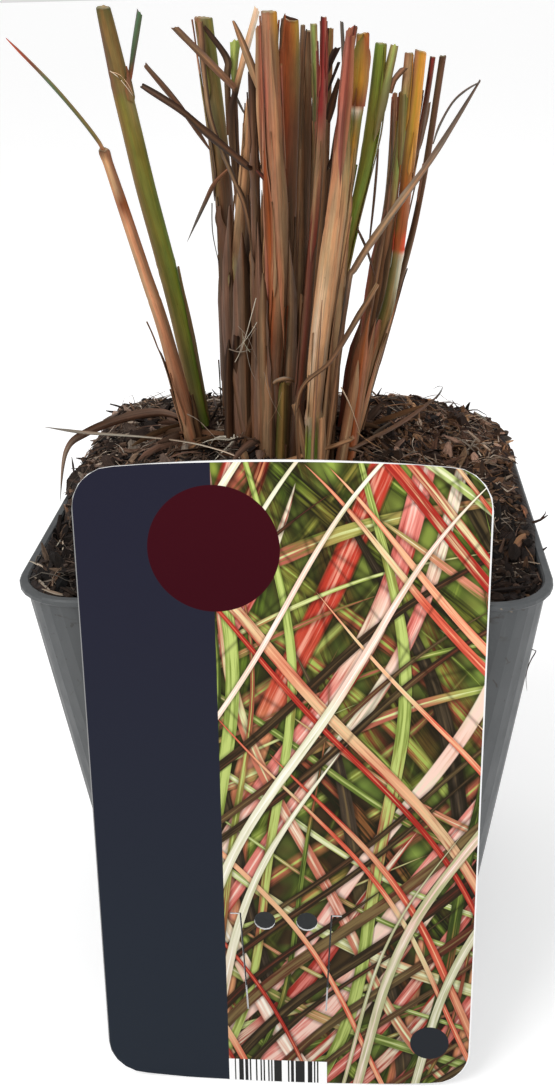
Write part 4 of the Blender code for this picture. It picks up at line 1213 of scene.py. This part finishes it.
def lay_strip(piece, rng, places, width, tint):
    """A flat strip through places, with torn ends, turned by chance about its length."""
    last = len(places) - 1
    turn = rng.uniform(0, math.pi)
    seed = rng.uniform(0, 300)
    slope = rng.uniform(-1, 1)
    tint = tint * rng.uniform(0.6, 1.15)
    rings = []
    for k, place in enumerate(places):
        way, one, two = axes_on(places, k)
        flat = one * math.cos(turn) + two * math.sin(turn)
        face = way.cross(flat)
        half = width / 2 * (1 - 0.75 * (abs(2 * k / last - 1)) ** 3) * (1 + 0.2 * noise.noise(place * 900))
        ring = []
        for u, v in ((-1, 0), (-0.4, 0.13), (0.4, 0.16), (1, 0), (0.4, -0.1), (-0.4, -0.13)):
            out = place + flat * half * u + face * width * v * 0.8
            if k in (0, last):
                out += way * half * slope * u
            ring.append((out, tint * (1 if v > 0 else 0.7), Vector((half * u / MM + seed, v, k * 2.0))))
        rings.append(ring)
    piece.loft(rings)


def make_foot_litter():
    """Short torn strips and splinters that lie and lean round the clump's foot."""
    rng = random.Random(5)
    piece = Piece()
    for k in range(235):
        pixel = (rng.uniform(180, 372), rng.gauss(431, 11))
        foot = first_hit(GROUND, pixel)[0]
        if foot is None:
            continue
        turn = rng.uniform(0, 2 * math.pi)
        rise = rng.choice((0.15, 0.3, 0.5, 1.2, 2.5)) if pixel[0] > 235 else 0.2
        way = Vector((math.cos(turn), math.sin(turn), rise)).normalized()
        length = rng.uniform(5, 20) * MM * (1.0 if rise < 1 else 0.7)
        droop = rng.uniform(0.0, 0.5) * length
        places = []
        for t in (step / 6 for step in range(7)):
            place = foot + way * length * t - Vector((0, 0, droop * t * t - 0.4 * MM))
            below = ground_at(place.x, place.y)
            if below:
                place.z = max(place.z, below[0].z + 0.5 * MM)
            places.append(place)
        if clear_of_pot(places[-1]):
            lay_strip(piece, rng, places, rng.uniform(0.5, 2.0) * MM, COLOUR[rng.choice(LITTER_COLOURS)])
    finish_dry(piece, "foot_litter")


# ---- potting mix

CHIP_SECTION = ((-0.5, -0.3), (0.1, -0.5), (0.5, -0.1), (0.35, 0.45), (-0.4, 0.4))
CHIP_STATIONS = ((-0.5, 0.3), (-0.3, 0.9), (0.0, 1.0), (0.28, 0.85), (0.5, 0.2))

# Colours and how often they come.
BARK_TINTS = table("soot 18, umber 24, cocoa 24, brown 12, mauve 16, dun 4, wood 2")
FIBRE_TINTS = table("umber 10, cocoa 16, brown 16, mauve 22, dun 16, ash 9, wood 8, slate 4")

# Small pale tufts on the mix: pixel, number of splinters and colour.
PALE_BITS = """
240 436 7 ash, 236 444 5 pale, 40 590 2 ash
470 452 6 ash, 484 468 3 dun, 350 430 3 wood
"""


def clear_of_pot(place):
    """Whether a place in the mix is inside the wall, or above the rim in the heap's rear part."""
    if place.z > POT_HEIGHT + 0.3 * MM and place.y > (12 * MM if place.x > 0 else -5 * MM):
        return max(abs(place.x), abs(place.y)) < RIM_HALF + 0.8 * MM
    return inside_wall(place) > 0.2 * MM


def any_way(rng, normal):
    """A direction by chance along a surface that faces a given way."""
    turn = rng.uniform(0, 2 * math.pi)
    side = normal.orthogonal().normalized()
    return math.cos(turn) * side + math.sin(turn) * normal.cross(side)


def lay_chip(piece, rng, spot, normal, size, tint, tilt):
    """One bark splinter: five uneven rings along a line that lies on the soil, or tilts by some
    degrees. The size is its length, width and thickness."""
    length, width, thick = size
    along = (any_way(rng, normal) + normal * math.tan(math.radians(tilt))).normalized()
    across = along.cross(normal).normalized()
    up = across.cross(along)
    roll = rng.uniform(-0.7, 0.7)
    c, s = math.cos(roll), math.sin(roll)
    across, up = across * c + up * s, up * c - across * s
    if not (clear_of_pot(spot + along * length / 2) and clear_of_pot(spot - along * length / 2)):
        return
    bend = rng.uniform(-0.2, 0.2) * length
    seed = rng.uniform(0, 300)
    rings = []
    for share, full in CHIP_STATIONS:
        narrow = full * rng.uniform(0.7, 1.25)
        middle = spot + along * length * share + across * bend * (share * share - 0.1)
        middle += up * rng.uniform(-0.2, 0.2) * thick
        ring = []
        for u, v in CHIP_SECTION:
            jag = rng.uniform(0.75, 1.25)
            place = middle + across * width * narrow * u * jag + up * thick * max(narrow, 0.5) * v * jag
            grain = Vector((u * width / MM + seed, v * thick / MM, share * length / MM))
            ring.append((place, tint, grain))
        rings.append(ring)
    piece.loft(rings)


def lay_fibre(piece, rng, spot, normal, length, radius, tint, rise):
    """One curly thread that starts on the soil and wanders over it."""
    along = (any_way(rng, normal) + normal * rise).normalized()
    steps = 6
    places = [spot]
    curl = rng.gauss(0, 0.14)
    for step in range(steps):
        drift = normal.cross(along) * curl + Vector([rng.gauss(0, 0.09) for axis in range(3)])
        along = (along + drift - normal * 0.15 * step * rise).normalized()
        places.append(places[-1] + along * length / steps)
    for place in places[1:]:
        below = ground_at(place.x, place.y)
        if not below:
            return
        floor = below[0].z + radius
        place.z = min(max(place.z, floor), floor + 1.2 * MM + rise * length)
        if not clear_of_pot(place):
            return
    add_thread(piece, places, radius, tint, rng.uniform(0, 300), 3)


def any_tint(rng, choices, place, brightness=1.0):
    """A tint by chance, greyer on the left, with painted shade that makes it darker towards the front and a
    little darker on the left.
    """
    tint = COLOUR[rng.choices(*zip(*choices))[0]]
    left = swing(-place.x / MM, -20, 25)
    tint = tint.lerp(Vector((0.36, 0.34, 0.3)) * sum(tint), 0.06 + 0.3 * left)
    # Painted shade: the mix is darkened towards the front of the pot, where the wall and the label shade it,
    # and slightly on the left.
    light = (0.46 + 1.0 * swing(place.y / MM, -30, 12)) * (1 - 0.05 * left)
    return tint * rng.uniform(0.2, 1.0) ** 1.5 * 2.15 * brightness * light


def scatter(rng, count):
    """Places on the soil's surface by chance, with the directions that they face. Along the back
    they are a little deeper."""
    half = RIM_HALF - 0.4 * MM
    for k in range(count):
        found = ground_at(rng.uniform(-half, half), rng.uniform(-half, half))
        if found:
            place, normal = found
            yield place - Vector((0, 0, 0.6 * MM * swing(place.y / MM, 25, 50))), normal


def make_potting_mix(material):
    """Lumps, splinters, flakes and crumbs of bark, then fibres, straws and pale tufts."""
    rng = random.Random(11)
    chips, crumbs, fibres, straws = (Piece() for kind in range(4))
    for place, normal in scatter(rng, 340):
        length = rng.uniform(4, 9) * MM
        width = length * rng.uniform(0.3, 0.6)
        size = (length, width, width * rng.uniform(0.5, 0.8))
        tint = any_tint(rng, BARK_TINTS, place, 0.55)
        lay_chip(chips, rng, place - normal * 0.4 * MM, normal, size, tint, rng.gauss(0, 20))
    for place, normal in scatter(rng, 2350):
        length = min(14, rng.lognormvariate(math.log(5.2), 0.5)) * MM
        width = min(length * 0.4, rng.lognormvariate(math.log(0.95), 0.45) * MM)
        tilt = rng.gauss(0, 15)
        lift = abs(math.sin(math.radians(tilt))) * length * 0.15 + rng.uniform(-0.5, 0.6) * MM
        size = (length, width, width * rng.uniform(0.3, 0.8))
        lay_chip(chips, rng, place + normal * lift, normal, size, any_tint(rng, BARK_TINTS, place), tilt)
    for place, normal in scatter(rng, 600):
        length = rng.uniform(2.5, 7) * MM
        width = length * rng.uniform(0.15, 0.42)
        tilt = rng.gauss(0, 22)
        lift = abs(math.sin(math.radians(tilt))) * length * 0.1 + rng.uniform(0.1, 0.9) * MM
        size = (length, width, rng.uniform(0.25, 0.5) * MM)
        lay_chip(chips, rng, place + normal * lift, normal, size, any_tint(rng, BARK_TINTS, place, 1.1), tilt)
    for place, normal in scatter(rng, 3300):
        length = rng.uniform(0.8, 2.6) * MM
        width = length * rng.uniform(0.3, 0.8)
        spot = place + normal * rng.uniform(-0.2, 0.8) * MM
        tint = any_tint(rng, BARK_TINTS, place, 0.9)
        lay_chip(crumbs, rng, spot, normal, (length, width, width * 0.7), tint, rng.gauss(0, 30))
    for place, normal in scatter(rng, 4200):
        spot = place + normal * rng.uniform(0.1, 1.0) * MM
        length, radius = rng.uniform(3, 12) * MM, rng.uniform(0.06, 0.2) * MM
        tint = any_tint(rng, FIBRE_TINTS, place, 1.1)
        lay_fibre(fibres, rng, spot, normal, length, radius, tint, rng.choice((0, 0, 0, 0, 0.06, 0.15)))
    for place, normal in scatter(rng, 110):
        length, radius = rng.uniform(6, 15) * MM, rng.uniform(0.14, 0.28) * MM
        tint = COLOUR[rng.choice(("dun", "ash", "mauve", "wood"))] * 0.9
        lay_fibre(straws, rng, place + normal * 0.8 * MM, normal, length, radius, tint, 0.02)
    for x, y, count, colour in table(PALE_BITS):
        place, normal = first_hit(GROUND, (x, y))
        for k in range(int(count)):
            length, radius = rng.uniform(3, 9) * MM, rng.uniform(0.14, 0.26) * MM
            lay_fibre(straws, rng, place + normal * 1.5 * MM, normal, length, radius, COLOUR[colour], 0.35)
    for piece, name in ((chips, "bark_chips"), (crumbs, "bark_crumbs"), (fibres, "coir_fibres"),
                        (straws, "straw_bits")):
        piece.finish(name, material, "potting_soil", 35)


# ---- all together

fresh = stem_material("fresh_cane", 0.12, 0.5, 0.5)
dry = stem_material("dry_cane", 0.15, 0.7, 0.62)
papery = stem_material("dry_leaf_fibre", 0.2, 0.8, 0.72)
MATERIAL_OF_SLOT = {"green_stem": fresh, "rust_stem": fresh, "red_stem": fresh, "dry_leaf": papery}
SURFACES = {part["node"]: (MATERIAL_OF_SLOT.get(part["material_slot"], dry), part["material_slot"])
            for part in frame["record"]["subparts"]}
make_camera()
make_studio()
frame["nodes"]["pot"].data.materials[0] = pot_material("pot_grey_plastic")
frame["nodes"]["plant_label"].data.materials[0] = label_material("label_sheet")
make_potting_mix(bark_material("bark"))
make_canes()
make_leaves()
make_loose_strips()
make_foot_sheaths()
make_foot_litter()
